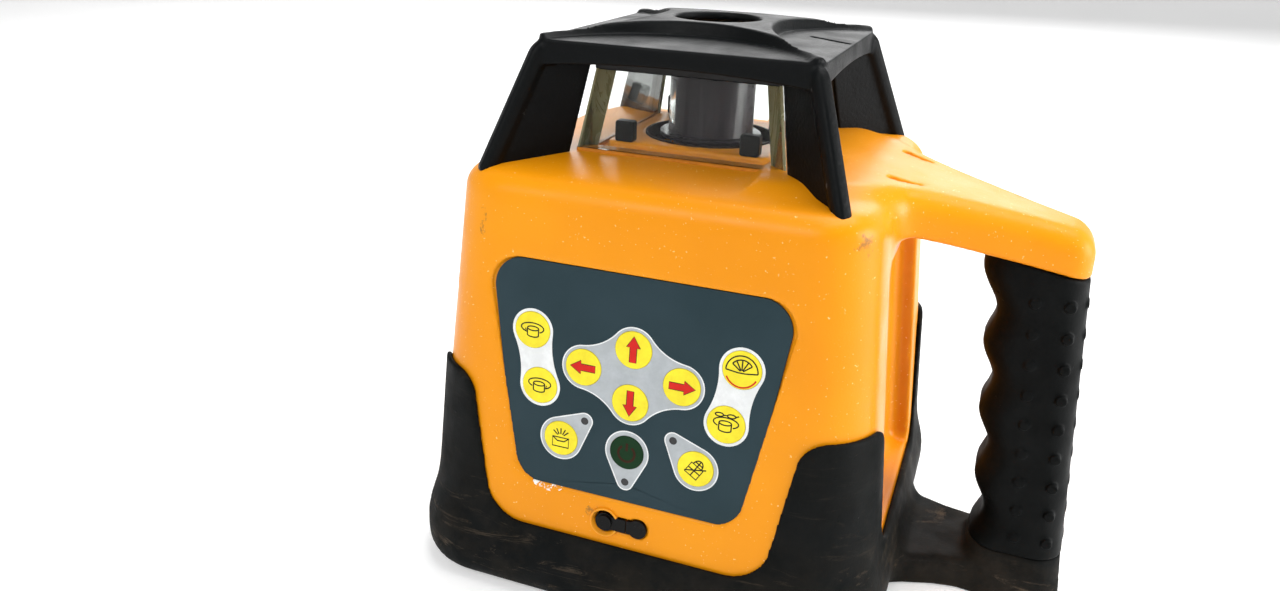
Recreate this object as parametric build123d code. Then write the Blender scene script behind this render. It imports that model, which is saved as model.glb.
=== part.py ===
"""Rotating laser level: self-levelling rotor in a glass lantern, on a square housing with a side handle.

Millimetres. +X is the handle side, -Y the keypad face, +Z up.
The origin is on the tripod thread's axis, in the plane that the instrument stands on.
"""

from build123d import *
import math
import os

# ---- housing -------------------------------------------------------------------------------------
BASE_Z = 6.0            # underside of the plastic housing, on the base plate
SHOULDER_Z = 143.5      # where the walls would meet the top
TOP_Z = 147.3           # flat ring that the glass stands on
TAPER = 0.09            # each wall leans in by this much per mm of height
TAPER_DEG = math.degrees(math.atan(TAPER))
REF_Z = 138.0
REF_HALF = 66.5         # half width of the housing at REF_Z
REF_CORNER = 19.5       # plan corner radius at REF_Z
EXTRA_LEFT = 1.5        # the side walls stand this much further out than the front wall
EXTRA_RIGHT = 3.0
CORNER_GROWTH = 0.036   # the corners open up towards the base
WALL = 3.0
SHOULDER_R = 6.0
SHOULDER_STEPS = 5      # facets in the shoulder's round
TOP_RING_HALF = 38.0
PLATEAU_HALF = 28.0
PLATEAU_Z = 150.0
ROTOR_HOLE_R = 22.7     # hole in the plateau for the rotor's neck

# ---- finger recess and handle --------------------------------------------------------------------
RECESS_DEPTH = 8.0
RECESS_HALF_Y = 36.0
RECESS_BOTTOM_Z = 26.6
RECESS_TOP_Z = 123.0
RECESS_R = 4.5
ARM_FLAT_END_X = 66.0
ARM_TIP_X = 130.0
ARM_TIP_TOP_Z = 133.6
ARM_TIP_LOW_Z = 118.6
ARM_ROOT_LOW_Z = 132.3
ARM_TIP_HALF_Y = 12.8
LEAN = 0.087            # the grip's outer edge runs outwards by this much per mm down
GRIP_OUTER_X = 130.0    # outer edge at GRIP_TOP_Z
GRIP_TOP_Z = 118.0
GRIP_BOTTOM_Z = 18.0
GRIP_HALF_Y = 16.0      # at the bottom
GRIP_NARROWING = 0.034  # loss of half width per mm of height
FINGER_PITCH = 24.4
FINGER_DEPTH = 1.75
FIRST_FINGER_Z = 103.7
GRIP_INNER_X = 100.3    # mean inner edge at GRIP_TOP_Z
SPINE_X, SPINE_Y = 12.0, 16.0
SPINE_TOP_Z = 124.0

# ---- base, boot ----------------------------------------------------------------------------------
PLATE_HALF = 71.0
PLATE_R = 20.0
TONGUE_HALF_Y = 11.0
TONGUE_END_X = 131.0
TONGUE_LIFT = 2.0
BOOT_SKIN = 2.2
BUMPER_HALF = 81.5      # the boot's greatest half depth, at its bumper
BOOT_TOP_Z = 78.0
BOOT_CUT_Z = 26.6
BOOT_CUT_LOW_X, BOOT_CUT_HIGH_X = 49.5, 56.5     # half widths between petals, low and high
HANDLE_CUT_LOW_X, HANDLE_CUT_HIGH_X = 43.0, 50.0
PETAL_SHOULDER_Z = 75.5
LOWER_ARM_Z = 12.0

# ---- lantern -------------------------------------------------------------------------------------
GLASS_Z0, GLASS_Z1 = 148.3, 174.0
GLASS_OUT0, GLASS_OUT1 = 35.4, 31.0
GLASS_T = 5.0
SEAL_T = 1.0
FIN_FOOT, FIN_HEAD = 59.0, 45.0
FIN_IN0, FIN_IN1 = 37.4, 32.7
FIN_T, FIN_RIM_T, FIN_RIM_W = 3.2, 5.2, 5.0
CLIP_W, CLIP_H, CLIP_AT = 6.5, 7.0, 21.5
COLLAR_T = 0.8
COLLAR_Z = 144.8
COLLAR_LIP_R = 18.6
CAP_Z0, CAP_Z1 = 176.0, 185.0            # underside of the cap, and its corners
CAP_HALF = 46.0
CAP_HOLE_R = 14.5
CAP_RIM_T = 3.5
CAP_DOME_Z, CAP_DOME_R = 190.0, 415.0    # the cap's top is part of a large sphere
CAP_HOLLOW_Z = 181.0    # roof of the hollow under the cap
SEAT_OUT, SEAT_IN = 32.0, 25.5   # square ring under the cap that the glass meets
SCOOP_R = 50.0
SCOOP_REACH = 20.0
SCOOP_IN_Z, SCOOP_OUT_Z = 185.6, 184.0   # a scoop's floor at its inner end and at the cap's edge

# ---- keypad --------------------------------------------------------------------------------------
PAD_POCKET = 1.6
PAD_T = 1.0
PAD_TOP_Z, PAD_LOW_Z = 119.0, 42.4
PAD_TOP_X, PAD_LOW_X = 50.6, 40.0
PAD_R = 10.0
KEY_GAP = 0.2
KEY_STEM_R = 3.0
KEY_TRAVEL = 0.5
KEY_PROUD = 0.3
KEYS = {
    "key_spin_fast": (-35.0, 95.5, 6.15),
    "key_spin_slow": (-31.7, 77.0, 6.15),
    "key_scan_fan": (35.0, 95.5, 6.15),
    "key_scan_step": (31.7, 77.0, 6.15),
    "key_arrow_up": (0.0, 95.2, 6.15),
    "key_arrow_down": (0.0, 77.4, 6.15),
    "key_arrow_left": (-16.6, 86.2, 6.15),
    "key_arrow_right": (16.6, 86.2, 6.15),
    "key_beam": (-23.3, 60.0, 5.95),
    "key_power": (0.0, 60.2, 5.75),
    "key_tilt_alarm": (23.3, 60.0, 5.95),
}
LEDS = ((-15.2, 67.8), (0.0, 49.7), (15.2, 67.8))
LED_R = 1.25
BOARD_BACK = 6.5        # from the outer wall face to the front of the keypad board
BOARD_T = 1.6

# ---- charging socket -----------------------------------------------------------------------------
JACK_X, JACK_Z = -5.9, 34.0
ANCHOR_X = 5.6
JACK_LIP_R = 4.75
JACK_HOLE_R = 3.2
STRAP_HALF = 2.3
STRAP_SUNK = 1.2

# ---- threads (5/8 inch - 11 UNC) -----------------------------------------------------------------
THREAD_R = 6.8
THREAD_DEPTH = 16.0
INSERT_R = 13.0
SIDE_MOUNT_Z = 66.0
SIDE_MOUNT_X = -77.0
SIDE_BOSS_R = 17.0

# ---- battery -------------------------------------------------------------------------------------
CELL_R, CELL_L = 13.0, 50.0
CELL_Z0 = 30.0
CELL_Y0 = 29.0          # centre of the inner pair
BOX_WALL = 1.6
DOOR_HALF_X = 31.0
DOOR_Z0, DOOR_Z1 = 30.0, 84.0
DOOR_T = 2.4
DOOR_GAP = 0.4
HINGE_R = 2.4
LATCH_R = 7.0
LATCH_Z = 74.0

# ---- levelling gear and rotor --------------------------------------------------------------------
PIVOT_Z = 118.0
ROOF_T = 5.0            # the roof's height above the cavity
TUBE_R, TUBE_BORE_R = 14.5, 9.0
TUBE_Z0, TUBE_Z1 = 86.0, 133.0
BEARING_R, BEARING_BORE_R, BEARING_W = 12.0, 7.5, 5.0
RING_IN_R, RING_OUT_R, RING_H = 17.5, 21.5, 9.0
PIN_R = 2.0
PIN_CLEAR = 0.05
FRAME_IN_R, FRAME_OUT_R = 34.0, 46.0
FRAME_Z0, FRAME_Z1 = 128.0, 131.0
POST_R, POST_AT = 4.0, 28.0
ROTOR_R = 14.7
ROTOR_Z0, ROTOR_Z1 = 141.0, 172.5
ROTOR_SHAFT_Z0 = 121.0
FLANGE_R = 17.6         # small enough to stay inside the collar when the head tilts both ways
ROTOR_TURN = -75.0      # where the drum's opening faces at rest, in degrees from the front
ROOM_HALF = 8.2         # half width of the drum's opening
ROOM_Z0, ROOM_Z1 = 154.0, 169.0
PRISM_HALF, PRISM_Z0, PRISM_Z1 = 7.0, 155.0, 168.0
BEAM_R = 4.5
PULLEY_R, PULLEY_Z0, PULLEY_H = 11.0, 134.5, 4.0
MOTOR_PULLEY_R = 4.0
MOTOR_AT, MOTOR_R, MOTOR_H = 23.5, 6.0, 8.5
MOTOR_TURN = 225.0      # direction of the motor from the axis, degrees
LEVER_AT = 27.0
LEVER_DROP = 3.0        # the ring's lever reaches this far below the pivots
TUBE_LEVER_R, TUBE_LEVER_TURN, TUBE_LEVER_Z = 27.8, -30.0, 101.0
STEPPER_TO_LEVER = 4.0
PUSHER_R = 1.5
STEPPER_R, STEPPER_H = 6.5, 12.0

SCREW_AT = 56.0
SCREW_R, SCREW_HEAD_R, SCREW_L = 2.0, 3.8, 14.0


def half_width(z):
    return REF_HALF + TAPER * (REF_Z - z)


def corner_radius(z):
    return REF_CORNER + CORNER_GROWTH * (REF_Z - z)


def rounded_square(half, radius, z):
    """Plan outline at height z, half deep at front and rear and a little wider at the sides."""
    across = 2 * half + EXTRA_LEFT + EXTRA_RIGHT
    return Pos((EXTRA_RIGHT - EXTRA_LEFT) / 2, 0, z) * RectangleRounded(across, 2 * half, radius)


def housing_block(z0, z1, inset=0.0):
    """A length of the housing's tapered outside, or the same moved inwards by inset."""
    ends = [rounded_square(half_width(z) - inset, corner_radius(z) - inset, z) for z in (z0, z1)]
    return loft(ends, ruled=True)


def roofed_block(z0, drop=0.0, inset=0.0):
    """Housing outside from z0 up over the rounded shoulder to the flat ring under the glass."""
    spring_z = SHOULDER_Z - SHOULDER_R
    rings = [(z0, half_width(z0), corner_radius(z0))]
    for i in range(SHOULDER_STEPS + 1):
        turn = math.pi / 2 * i / SHOULDER_STEPS
        back = SHOULDER_R * (1 - math.cos(turn))
        radius = corner_radius(spring_z) - back
        rings.append((spring_z + SHOULDER_R * math.sin(turn), half_width(spring_z) - back, radius))
    rings.append((TOP_Z, TOP_RING_HALF, 8.0))
    slices = [rounded_square(rings[0][1] - inset, rings[0][2] - inset, z0)]
    slices += [rounded_square(half - inset, radius - inset, z - drop) for z, half, radius in rings[1:]]
    return loft(slices, ruled=True)


def wall_plane(angle=0.0):
    """Plane on a wall's outer face: x across, y up the wall, z outwards. 0 is the keypad wall."""
    lean = math.radians(TAPER_DEG)
    extra = {90: EXTRA_RIGHT, 270: EXTRA_LEFT}.get(angle, 0)
    front = Plane(
        origin=(0, -half_width(0) - extra, 0),
        x_dir=(1, 0, 0),
        z_dir=(0, -math.cos(lean), math.sin(lean)),
    )
    return Plane(Rot(0, 0, angle) * front.location)


def up_wall(z):
    """Distance up a leaning wall to height z."""
    return z / math.cos(math.radians(TAPER_DEG))


def on_wall(x, z, depth, angle=0.0):
    """Location on a wall at height z, depth mm outwards from its face."""
    return wall_plane(angle).location * Pos(x, up_wall(z), depth)


def tube(r_out, r_in, z0, z1, x=0.0, y=0.0):
    ring = Circle(r_out) - Circle(r_in) if r_in else Circle(r_out)
    return Pos(x, y, z0) * extrude(ring, z1 - z0)


def box(x0, x1, y0, y1, z0, z1):
    return Pos((x0 + x1) / 2, (y0 + y1) / 2, (z0 + z1) / 2) * Box(x1 - x0, y1 - y0, z1 - z0)


def bar_x(r, x0, x1, y, z):
    return Pos((x0 + x1) / 2, y, z) * Rot(0, 90, 0) * Cylinder(r, x1 - x0)


def bar_y(r, y0, y1, x, z):
    return Pos(x, (y0 + y1) / 2, z) * Rot(90, 0, 0) * Cylinder(r, y1 - y0)


# ---- handle --------------------------------------------------------------------------------------
def arm():
    """Upper arm of the handle: its plan outline met with its side outline."""
    side_x = [30.0, ARM_TIP_X]
    with BuildSketch() as plan:
        with BuildLine():
            edge = Spline(
                (64, 37), (72, 29.6), (84, 23.4), (96, 19.5), (110, 15.4), (122, ARM_TIP_HALF_Y),
                tangents=((0.6, -0.8), (1, -0.1)),
            )
            tip = Line(edge @ 1, (ARM_TIP_X, ARM_TIP_HALF_Y - 0.6))
            Line(tip @ 1, (ARM_TIP_X, 0))
            Line((ARM_TIP_X, 0), (side_x[0], 0))
            Line((side_x[0], 0), (side_x[0], 30))
            Line((side_x[0], 30), edge @ 0)
        make_face()
        mirror(about=Plane.XZ)
    upright = extrude(Pos(0, 0, 100) * plan.sketch, 60)
    with BuildSketch(Plane.XZ) as side:
        with BuildLine():
            Polyline(
                (side_x[0], TOP_Z),
                (ARM_FLAT_END_X, TOP_Z),
                (ARM_TIP_X, ARM_TIP_TOP_Z),
                (ARM_TIP_X, ARM_TIP_LOW_Z),
                (66, ARM_ROOT_LOW_Z),
                (side_x[0], ARM_ROOT_LOW_Z),
                close=True,
            )
        make_face()
        fillet(side.vertices().sort_by(Axis.X)[-2:], 6.0)
    across = extrude(side.sketch, 60, both=True)
    return upright & across


def grip_inner_x(z):
    """The grip's inner edge: a leaning line with a valley for each finger."""
    wave = math.cos(2 * math.pi * (z - FIRST_FINGER_Z) / FINGER_PITCH)
    return GRIP_INNER_X + 0.097 * (GRIP_TOP_Z - z) + FINGER_DEPTH * wave


def grip_outer_x(z):
    return GRIP_OUTER_X + LEAN * (GRIP_TOP_Z - z)


def grip_section(z):
    inner, outer = grip_inner_x(z), grip_outer_x(z)
    half_y = GRIP_HALF_Y - GRIP_NARROWING * (z - GRIP_BOTTOM_Z)
    return Pos((inner + outer) / 2, 0, z) * RectangleRounded(outer - inner, 2 * half_y, 10.5)


def handle_grip(spine):
    heights = [GRIP_BOTTOM_Z]
    step = FIRST_FINGER_Z - 3.5 * FINGER_PITCH
    while step < GRIP_TOP_Z:
        if step > GRIP_BOTTOM_Z + 2:
            heights.append(step)
        step += FINGER_PITCH / 4
    return loft([grip_section(z) for z in heights + [GRIP_TOP_Z + 8]]) - spine - arm()


def handle_spine():
    """Steel bar inside the grip, from the base plate's tongue into the upper arm."""
    def middle(z):
        return (GRIP_INNER_X + 0.097 * (GRIP_TOP_Z - z) + grip_outer_x(z)) / 2
    ends = [Pos(middle(z), 0, z) * RectangleRounded(SPINE_X, SPINE_Y, 3) for z in (BASE_Z, SPINE_TOP_Z)]
    return loft(ends, ruled=True)


# ---- housing -------------------------------------------------------------------------------------
def finger_recess(grow=0.0):
    """Space set into the handle side, so that fingers fit behind the grip."""
    with BuildSketch() as cut:
        Rectangle(2 * (RECESS_HALF_Y + grow), up_wall(RECESS_TOP_Z - RECESS_BOTTOM_Z) + 2 * grow)
        fillet(cut.vertices(), RECESS_R)
    middle = on_wall(0, (RECESS_TOP_Z + RECESS_BOTTOM_Z) / 2, -RECESS_DEPTH - grow, 90)
    return middle * extrude(cut.sketch, RECESS_DEPTH + 20)


def keypad_outline(inset=0.0):
    with BuildSketch() as pad:
        with BuildLine():
            Polyline(
                (-PAD_TOP_X, up_wall(PAD_TOP_Z)),
                (PAD_TOP_X, up_wall(PAD_TOP_Z)),
                (PAD_LOW_X, up_wall(PAD_LOW_Z)),
                (-PAD_LOW_X, up_wall(PAD_LOW_Z)),
                close=True,
            )
        make_face()
        fillet(pad.vertices(), PAD_R)
        if inset:
            offset(amount=-inset)
    return pad.sketch


def door_panel(grow, thickness, depth):
    """Rounded panel in the rear wall, its outer face depth mm out from the wall."""
    size = (2 * (DOOR_HALF_X + grow), up_wall(DOOR_Z1 - DOOR_Z0) + 2 * grow)
    middle = on_wall(0, (DOOR_Z0 + DOOR_Z1) / 2, depth - thickness, 180)
    return middle * extrude(RectangleRounded(*size, 4), thickness)


def side_boss():
    """Flat-faced boss for the second tripod thread, opposite the handle."""
    return bar_x(SIDE_BOSS_R, SIDE_MOUNT_X, SIDE_MOUNT_X + THREAD_DEPTH, 0, SIDE_MOUNT_Z)


def strap_groove(grow, z0, z1):
    """The dog-bone outline of the socket cover, between two depths from the wall face."""
    length = ANCHOR_X - JACK_X
    with BuildSketch() as outline:
        with Locations((length / 2, 0)):
            Rectangle(length, 2 * (STRAP_HALF + grow))
        Circle(JACK_HOLE_R + grow)
        with Locations((length, 0)):
            Circle(JACK_HOLE_R + grow)
    return on_wall(JACK_X, JACK_Z, z0) * extrude(outline.sketch, z1 - z0)


def main_housing(spine):
    shell = roofed_block(BASE_Z) + arm() - finger_recess()
    cavity = roofed_block(BASE_Z - 1, ROOF_T, WALL) - finger_recess(WALL)
    shell -= cavity
    ledge = extrude(RectangleRounded(2 * PLATEAU_HALF, 2 * PLATEAU_HALF, 3), PLATEAU_Z - TOP_Z + 0.5)
    shell += Pos(0, 0, TOP_Z - 0.5) * ledge
    shell -= tube(ROTOR_HOLE_R, 0, TOP_Z - 10, PLATEAU_Z + 1)
    shell -= wall_plane().location * Pos(0, 0, -PAD_POCKET) * extrude(keypad_outline(), 5)
    for x, z, _ in KEYS.values():
        shell -= on_wall(x, z, 0) * Cylinder(KEY_STEM_R + 0.4, 4 * WALL)
    lip = on_wall(JACK_X, JACK_Z, 0) * extrude(Circle(JACK_LIP_R), 0.8)
    shell = shell + lip - on_wall(JACK_X, JACK_Z, 0) * Cylinder(JACK_HOLE_R + 0.6, 4 * WALL)
    shell -= strap_groove(0.4, -STRAP_SUNK, 2)
    shell = shell + (side_boss() - beyond_side_face()) - side_insert_room()
    shell = shell - door_panel(DOOR_GAP, 10, 5) + screw_bosses()
    for x, y in corners(SCREW_AT):
        shell -= tube(SCREW_R, 0, BASE_Z - 1, BASE_Z + 19, x, y)
    shell -= bar_x(HINGE_R + 0.5, -DOOR_HALF_X - 0.5, DOOR_HALF_X + 0.5, hinge_y(), hinge_z())
    shell -= door_hinge_pin()
    return shell - spine


def beyond_side_face():
    """Everything outside the side thread's flat face, around the boss."""
    return box(SIDE_MOUNT_X - 25, SIDE_MOUNT_X, -40, 40, 0, 140)


def side_insert_room():
    return bar_x(INSERT_R, SIDE_MOUNT_X - 1, SIDE_MOUNT_X + THREAD_DEPTH + 1, 0, SIDE_MOUNT_Z)


def corners(distance):
    return [(x, y) for x in (-distance, distance) for y in (-distance, distance)]


def screw_bosses():
    """Posts for the base screws, each with a rib to its corner of the wall."""
    bosses = []
    for i in range(4):
        rib = corner_wall(3, SCREW_AT * math.sqrt(2) + 3, 97.5, BASE_Z, BASE_Z + 18)
        post = tube(5, 0, BASE_Z, BASE_Z + 18, SCREW_AT, SCREW_AT)
        bosses.append(Rot(0, 0, 90 * i) * (post + rib))
    return bosses


# ---- base and boot -------------------------------------------------------------------------------
def plate_blank():
    """Base plate before drilling, with the tongue that carries the handle's spine."""
    plate = extrude(RectangleRounded(2 * PLATE_HALF, 2 * PLATE_HALF, PLATE_R), BASE_Z)
    return plate + box(PLATE_HALF - 5, TONGUE_END_X, -TONGUE_HALF_Y, TONGUE_HALF_Y, TONGUE_LIFT, BASE_Z)


def base_plate():
    plate = plate_blank() - tube(INSERT_R, 0, -1, BASE_Z + 1)
    for x, y in corners(SCREW_AT):
        plate -= tube(SCREW_R + 0.2, 0, -1, BASE_Z + 1, x, y)
        plate -= tube(SCREW_HEAD_R + 0.2, 0, -1, 3, x, y)
    return plate


def thread_insert(face):
    """Flanged bush with a blind tripod thread, pointing down from the origin."""
    bush = tube(INSERT_R, 0, 0, THREAD_DEPTH) + tube(INSERT_R + 3, 0, BASE_Z, BASE_Z + 2.5)
    bush -= tube(THREAD_R, 0, -1, THREAD_DEPTH - 2)
    return face * bush


def side_insert():
    bush = bar_x(INSERT_R, SIDE_MOUNT_X, SIDE_MOUNT_X + THREAD_DEPTH, 0, SIDE_MOUNT_Z)
    return bush - bar_x(THREAD_R, SIDE_MOUNT_X - 1, SIDE_MOUNT_X + THREAD_DEPTH - 2, 0, SIDE_MOUNT_Z)


def boot_cut(angle):
    """The low front of the boot between two corner petals, as a cutter through one wall."""
    low_x, high_x = (HANDLE_CUT_LOW_X, HANDLE_CUT_HIGH_X) if angle == 90 else (BOOT_CUT_LOW_X, BOOT_CUT_HIGH_X)
    with BuildSketch() as outline:
        with BuildLine():
            Polyline(
                (-low_x, BOOT_CUT_Z),
                (low_x, BOOT_CUT_Z),
                (high_x, PETAL_SHOULDER_Z),
                (BUMPER_HALF + 5, BOOT_TOP_Z),
                (BUMPER_HALF + 5, BOOT_TOP_Z + 8),
                (-BUMPER_HALF - 5, BOOT_TOP_Z + 8),
                (-BUMPER_HALF - 5, BOOT_TOP_Z),
                (-high_x, PETAL_SHOULDER_Z),
                close=True,
            )
        make_face()
        fillet(outline.vertices().sort_by(Axis.Y)[:2], 13.0)
        fillet(outline.vertices().filter_by(lambda v: abs(v.Y - PETAL_SHOULDER_Z) < 0.01), 7.0)
    lying = Plane(origin=(0, -50, 0), x_dir=(1, 0, 0), z_dir=(0, -1, 0))
    return Rot(0, 0, angle) * (lying.location * extrude(outline.sketch, 45))


def lower_arm():
    """Foot of the handle, moulded with the boot, up to the grip's lower end."""
    reach = grip_outer_x(0)
    with BuildSketch() as plan:
        with BuildLine():
            edge = Spline((70, 30), (84, 23), (106, 16.5), (118, GRIP_HALF_Y),
                          tangents=((0.7, -0.7), (1, 0)))
            flat = Line(edge @ 1, (reach - 11, GRIP_HALF_Y))
            end = RadiusArc(flat @ 1, (reach, GRIP_HALF_Y - 11), 11)
            Line(end @ 1, (reach, 0))
            Line((reach, 0), (60, 0))
            Line((60, 0), (60, 30))
            Line((60, 30), edge @ 0)
        make_face()
        mirror(about=Plane.XZ)
    foot = extrude(plan.sketch, LOWER_ARM_Z)
    stub = [Pos(0, 0, z - GRIP_BOTTOM_Z) * grip_section(GRIP_BOTTOM_Z) for z in (3, GRIP_BOTTOM_Z)]
    return foot + loft(stub, ruled=True)


def boot_skirt():
    """Solid outline of the boot: height, half width and corner radius of each ring."""
    skirt = (
        (0.0, 76.5, 23.0),
        (3.0, 80.0, 25.5),
        (8.0, 81.4, 27.0),
        (13.0, BUMPER_HALF, 27.5),
        (18.0, 80.9, 27.0),
        (24.0, 79.2, 26.0),
        (29.0, 77.9, 25.0),
        (36.0, 76.9, 24.4),
        (44.0, 76.3, 24.2),
        (BOOT_TOP_Z, half_width(BOOT_TOP_Z) + BOOT_SKIN, 23.9),
    )
    return loft([rounded_square(half, radius, z) for z, half, radius in skirt], ruled=True)


def handle_foot(skirt, spine):
    return lower_arm() - skirt - plate_blank() - spine


def rubber_boot(skirt):
    boot = skirt - housing_block(BASE_Z, BOOT_TOP_Z + 1)
    for angle in (0, 90, 180, 270):
        boot -= boot_cut(angle)
    return boot - plate_blank()


# ---- lantern -------------------------------------------------------------------------------------
def square_frustum(z0, z1, half0, half1):
    return loft([Pos(0, 0, z) * Rectangle(2 * h, 2 * h) for z, h in ((z0, half0), (z1, half1))], ruled=True)


def glass_ring():
    outside = square_frustum(GLASS_Z0, GLASS_Z1, GLASS_OUT0, GLASS_OUT1)
    inside = square_frustum(GLASS_Z0, GLASS_Z1, GLASS_OUT0 - GLASS_T, GLASS_OUT1 - GLASS_T)
    return outside - inside


def corner_wall(thickness, r0, r1, z0, z1):
    """Upright slab on a diagonal, from radius r0 to r1."""
    return Pos(0, 0, (z0 + z1) / 2) * Rot(0, 0, 45) * Pos((r0 + r1) / 2, 0, 0) * Box(
        r1 - r0, thickness, z1 - z0
    )


def around(piece, count=4):
    return [Rot(0, 0, 360 / count * i) * piece for i in range(count)]


def window_seals(ring):
    mitre = corner_wall(SEAL_T, 10, 80, GLASS_Z0, GLASS_Z1)
    return Compound([ring & (Rot(0, 0, 90 * i) * mitre) for i in range(4)])


def window_panes(ring):
    for i in range(4):
        ring -= Rot(0, 0, 90 * i) * corner_wall(SEAL_T, 10, 80, GLASS_Z0, GLASS_Z1)
    return ring


def window_gaskets():
    low = square_frustum(TOP_Z, GLASS_Z0, GLASS_OUT0, GLASS_OUT0) - square_frustum(
        TOP_Z, GLASS_Z0, GLASS_OUT0 - GLASS_T, GLASS_OUT0 - GLASS_T)
    high = square_frustum(GLASS_Z1, CAP_Z0, GLASS_OUT1, GLASS_OUT1) - square_frustum(
        GLASS_Z1, CAP_Z0, GLASS_OUT1 - GLASS_T, GLASS_OUT1 - GLASS_T)
    return Compound([low, high])


def window_clips():
    clip = box(-CLIP_W / 2, CLIP_W / 2, -PLATEAU_HALF, -PLATEAU_HALF + 4, PLATEAU_Z, PLATEAU_Z + CLIP_H)
    clips = []
    for angle in (0, 180):
        clips += [Rot(0, 0, angle) * Pos(x, 0, 0) * clip for x in (-CLIP_AT, CLIP_AT)]
    return Compound(clips)


def dust_ring():
    """Collar lining the hole in the plateau, with a lip inwards under the rotor's flange."""
    collar_r = ROTOR_HOLE_R - 0.1
    collar = tube(collar_r, collar_r - COLLAR_T, COLLAR_Z, PLATEAU_Z + 0.3)
    return collar + tube(collar_r, COLLAR_LIP_R, COLLAR_Z, COLLAR_Z + 1.2)


def fin():
    """One corner blade of the cage, standing on the +X +Y diagonal, with a thick outer rim."""
    root2 = math.sqrt(2)
    upright = Plane(origin=(0, 0, 0), x_dir=(1 / root2, 1 / root2, 0), z_dir=(1 / root2, -1 / root2, 0))
    foot, head = FIN_FOOT * root2, FIN_HEAD * root2
    with BuildSketch() as blade:
        with BuildLine():
            Polyline(
                (FIN_IN0 * root2, TOP_Z - 2.5),
                (foot + 0.8, SHOULDER_Z - 4),
                (foot, SHOULDER_Z + 1),
                (head, CAP_Z1 - 1.5),
                (FIN_IN1 * root2 - 2, CAP_Z1 - 1.5),
                close=True,
            )
        make_face()
    with BuildSketch() as rim:
        with BuildLine():
            Polyline(
                (foot + 0.8 - FIN_RIM_W, SHOULDER_Z - 4),
                (foot + 0.8, SHOULDER_Z - 4),
                (foot, SHOULDER_Z + 1),
                (head, CAP_Z1 - 1.5),
                (head - FIN_RIM_W, CAP_Z1 - 1.5),
                (foot - FIN_RIM_W, SHOULDER_Z + 1),
                close=True,
            )
        make_face()
    web = extrude(upright.location * blade.sketch, FIN_T / 2, both=True)
    edge = extrude(upright.location * rim.sketch, FIN_RIM_T / 2, both=True)
    return web + edge


def scoop():
    """Dished cut in the cap's top between two arms of its star."""
    tilt = math.degrees(math.atan((SCOOP_IN_Z - SCOOP_OUT_Z) / (CAP_HALF - SCOOP_REACH)))
    hinge = Pos(0, -SCOOP_REACH, SCOOP_IN_Z) * Rot(tilt, 0, 0)
    return hinge * Pos(0, -SCOOP_R, 10) * Cylinder(SCOOP_R, 20)


def top_cage(housing):
    cap = Pos(0, 0, CAP_Z0) * extrude(RectangleRounded(2 * CAP_HALF, 2 * CAP_HALF, 4), CAP_DOME_Z - CAP_Z0)
    cap &= Pos(0, 0, CAP_DOME_Z - CAP_DOME_R) * Sphere(CAP_DOME_R)
    under = RectangleRounded(2 * (CAP_HALF - CAP_RIM_T), 2 * (CAP_HALF - CAP_RIM_T), 2)
    cap -= Pos(0, 0, CAP_Z0 - 1) * extrude(under, 1 + CAP_HOLLOW_Z - CAP_Z0)
    cap -= around(scoop())
    seat = Rectangle(2 * SEAT_OUT, 2 * SEAT_OUT) - Rectangle(2 * SEAT_IN, 2 * SEAT_IN)
    cap += Pos(0, 0, CAP_Z0) * extrude(seat, CAP_HOLLOW_Z - CAP_Z0 + 1)
    cap += around(fin())
    cap -= tube(CAP_HOLE_R, 0, CAP_Z0 - 1, CAP_DOME_Z + 1)
    return cap - housing


# ---- keypad --------------------------------------------------------------------------------------
def keypad_overlay():
    sheet = wall_plane().location * Pos(0, 0, -PAD_POCKET) * extrude(keypad_outline(0.15), PAD_T)
    for x, z, radius in KEYS.values():
        sheet -= on_wall(x, z, -PAD_POCKET) * Cylinder(radius + KEY_GAP, 4 * PAD_T)
    for x, z in LEDS:
        sheet -= on_wall(x, z, -PAD_POCKET) * Cylinder(LED_R, 4 * PAD_T)
    return sheet


def key(x, z, radius):
    """Button cap flush with the overlay's holes, on a stem that reaches the keypad board."""
    back = -PAD_POCKET + KEY_TRAVEL + 0.1
    front = -PAD_POCKET + PAD_T + KEY_PROUD
    cap = on_wall(x, z, back) * extrude(Circle(radius), front - back)
    stem_end = -BOARD_BACK + KEY_TRAVEL + 0.1
    stem = on_wall(x, z, stem_end) * extrude(Circle(KEY_STEM_R), back - stem_end)
    return fillet(cap.edges().sort_by(Axis.Y)[:1], 0.25) + stem


def status_leds():
    lamp = extrude(Circle(LED_R), PAD_T)
    return Compound([on_wall(x, z, -PAD_POCKET) * lamp for x, z in LEDS])


def keypad_board():
    board = on_wall(0, 78, -BOARD_BACK - BOARD_T) * extrude(RectangleRounded(84, 60, 3), BOARD_T)
    return board


def charge_socket():
    """Barrel socket behind the wall, with its centre pin."""
    shell = extrude(Circle(JACK_HOLE_R + 0.5) - Circle(JACK_HOLE_R - 0.4), 8.5)
    back = extrude(Circle(JACK_HOLE_R + 0.5), 2)
    pin = extrude(Circle(0.9), 6.5)
    return on_wall(JACK_X, JACK_Z, -12) * (shell + back + pin)


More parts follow.
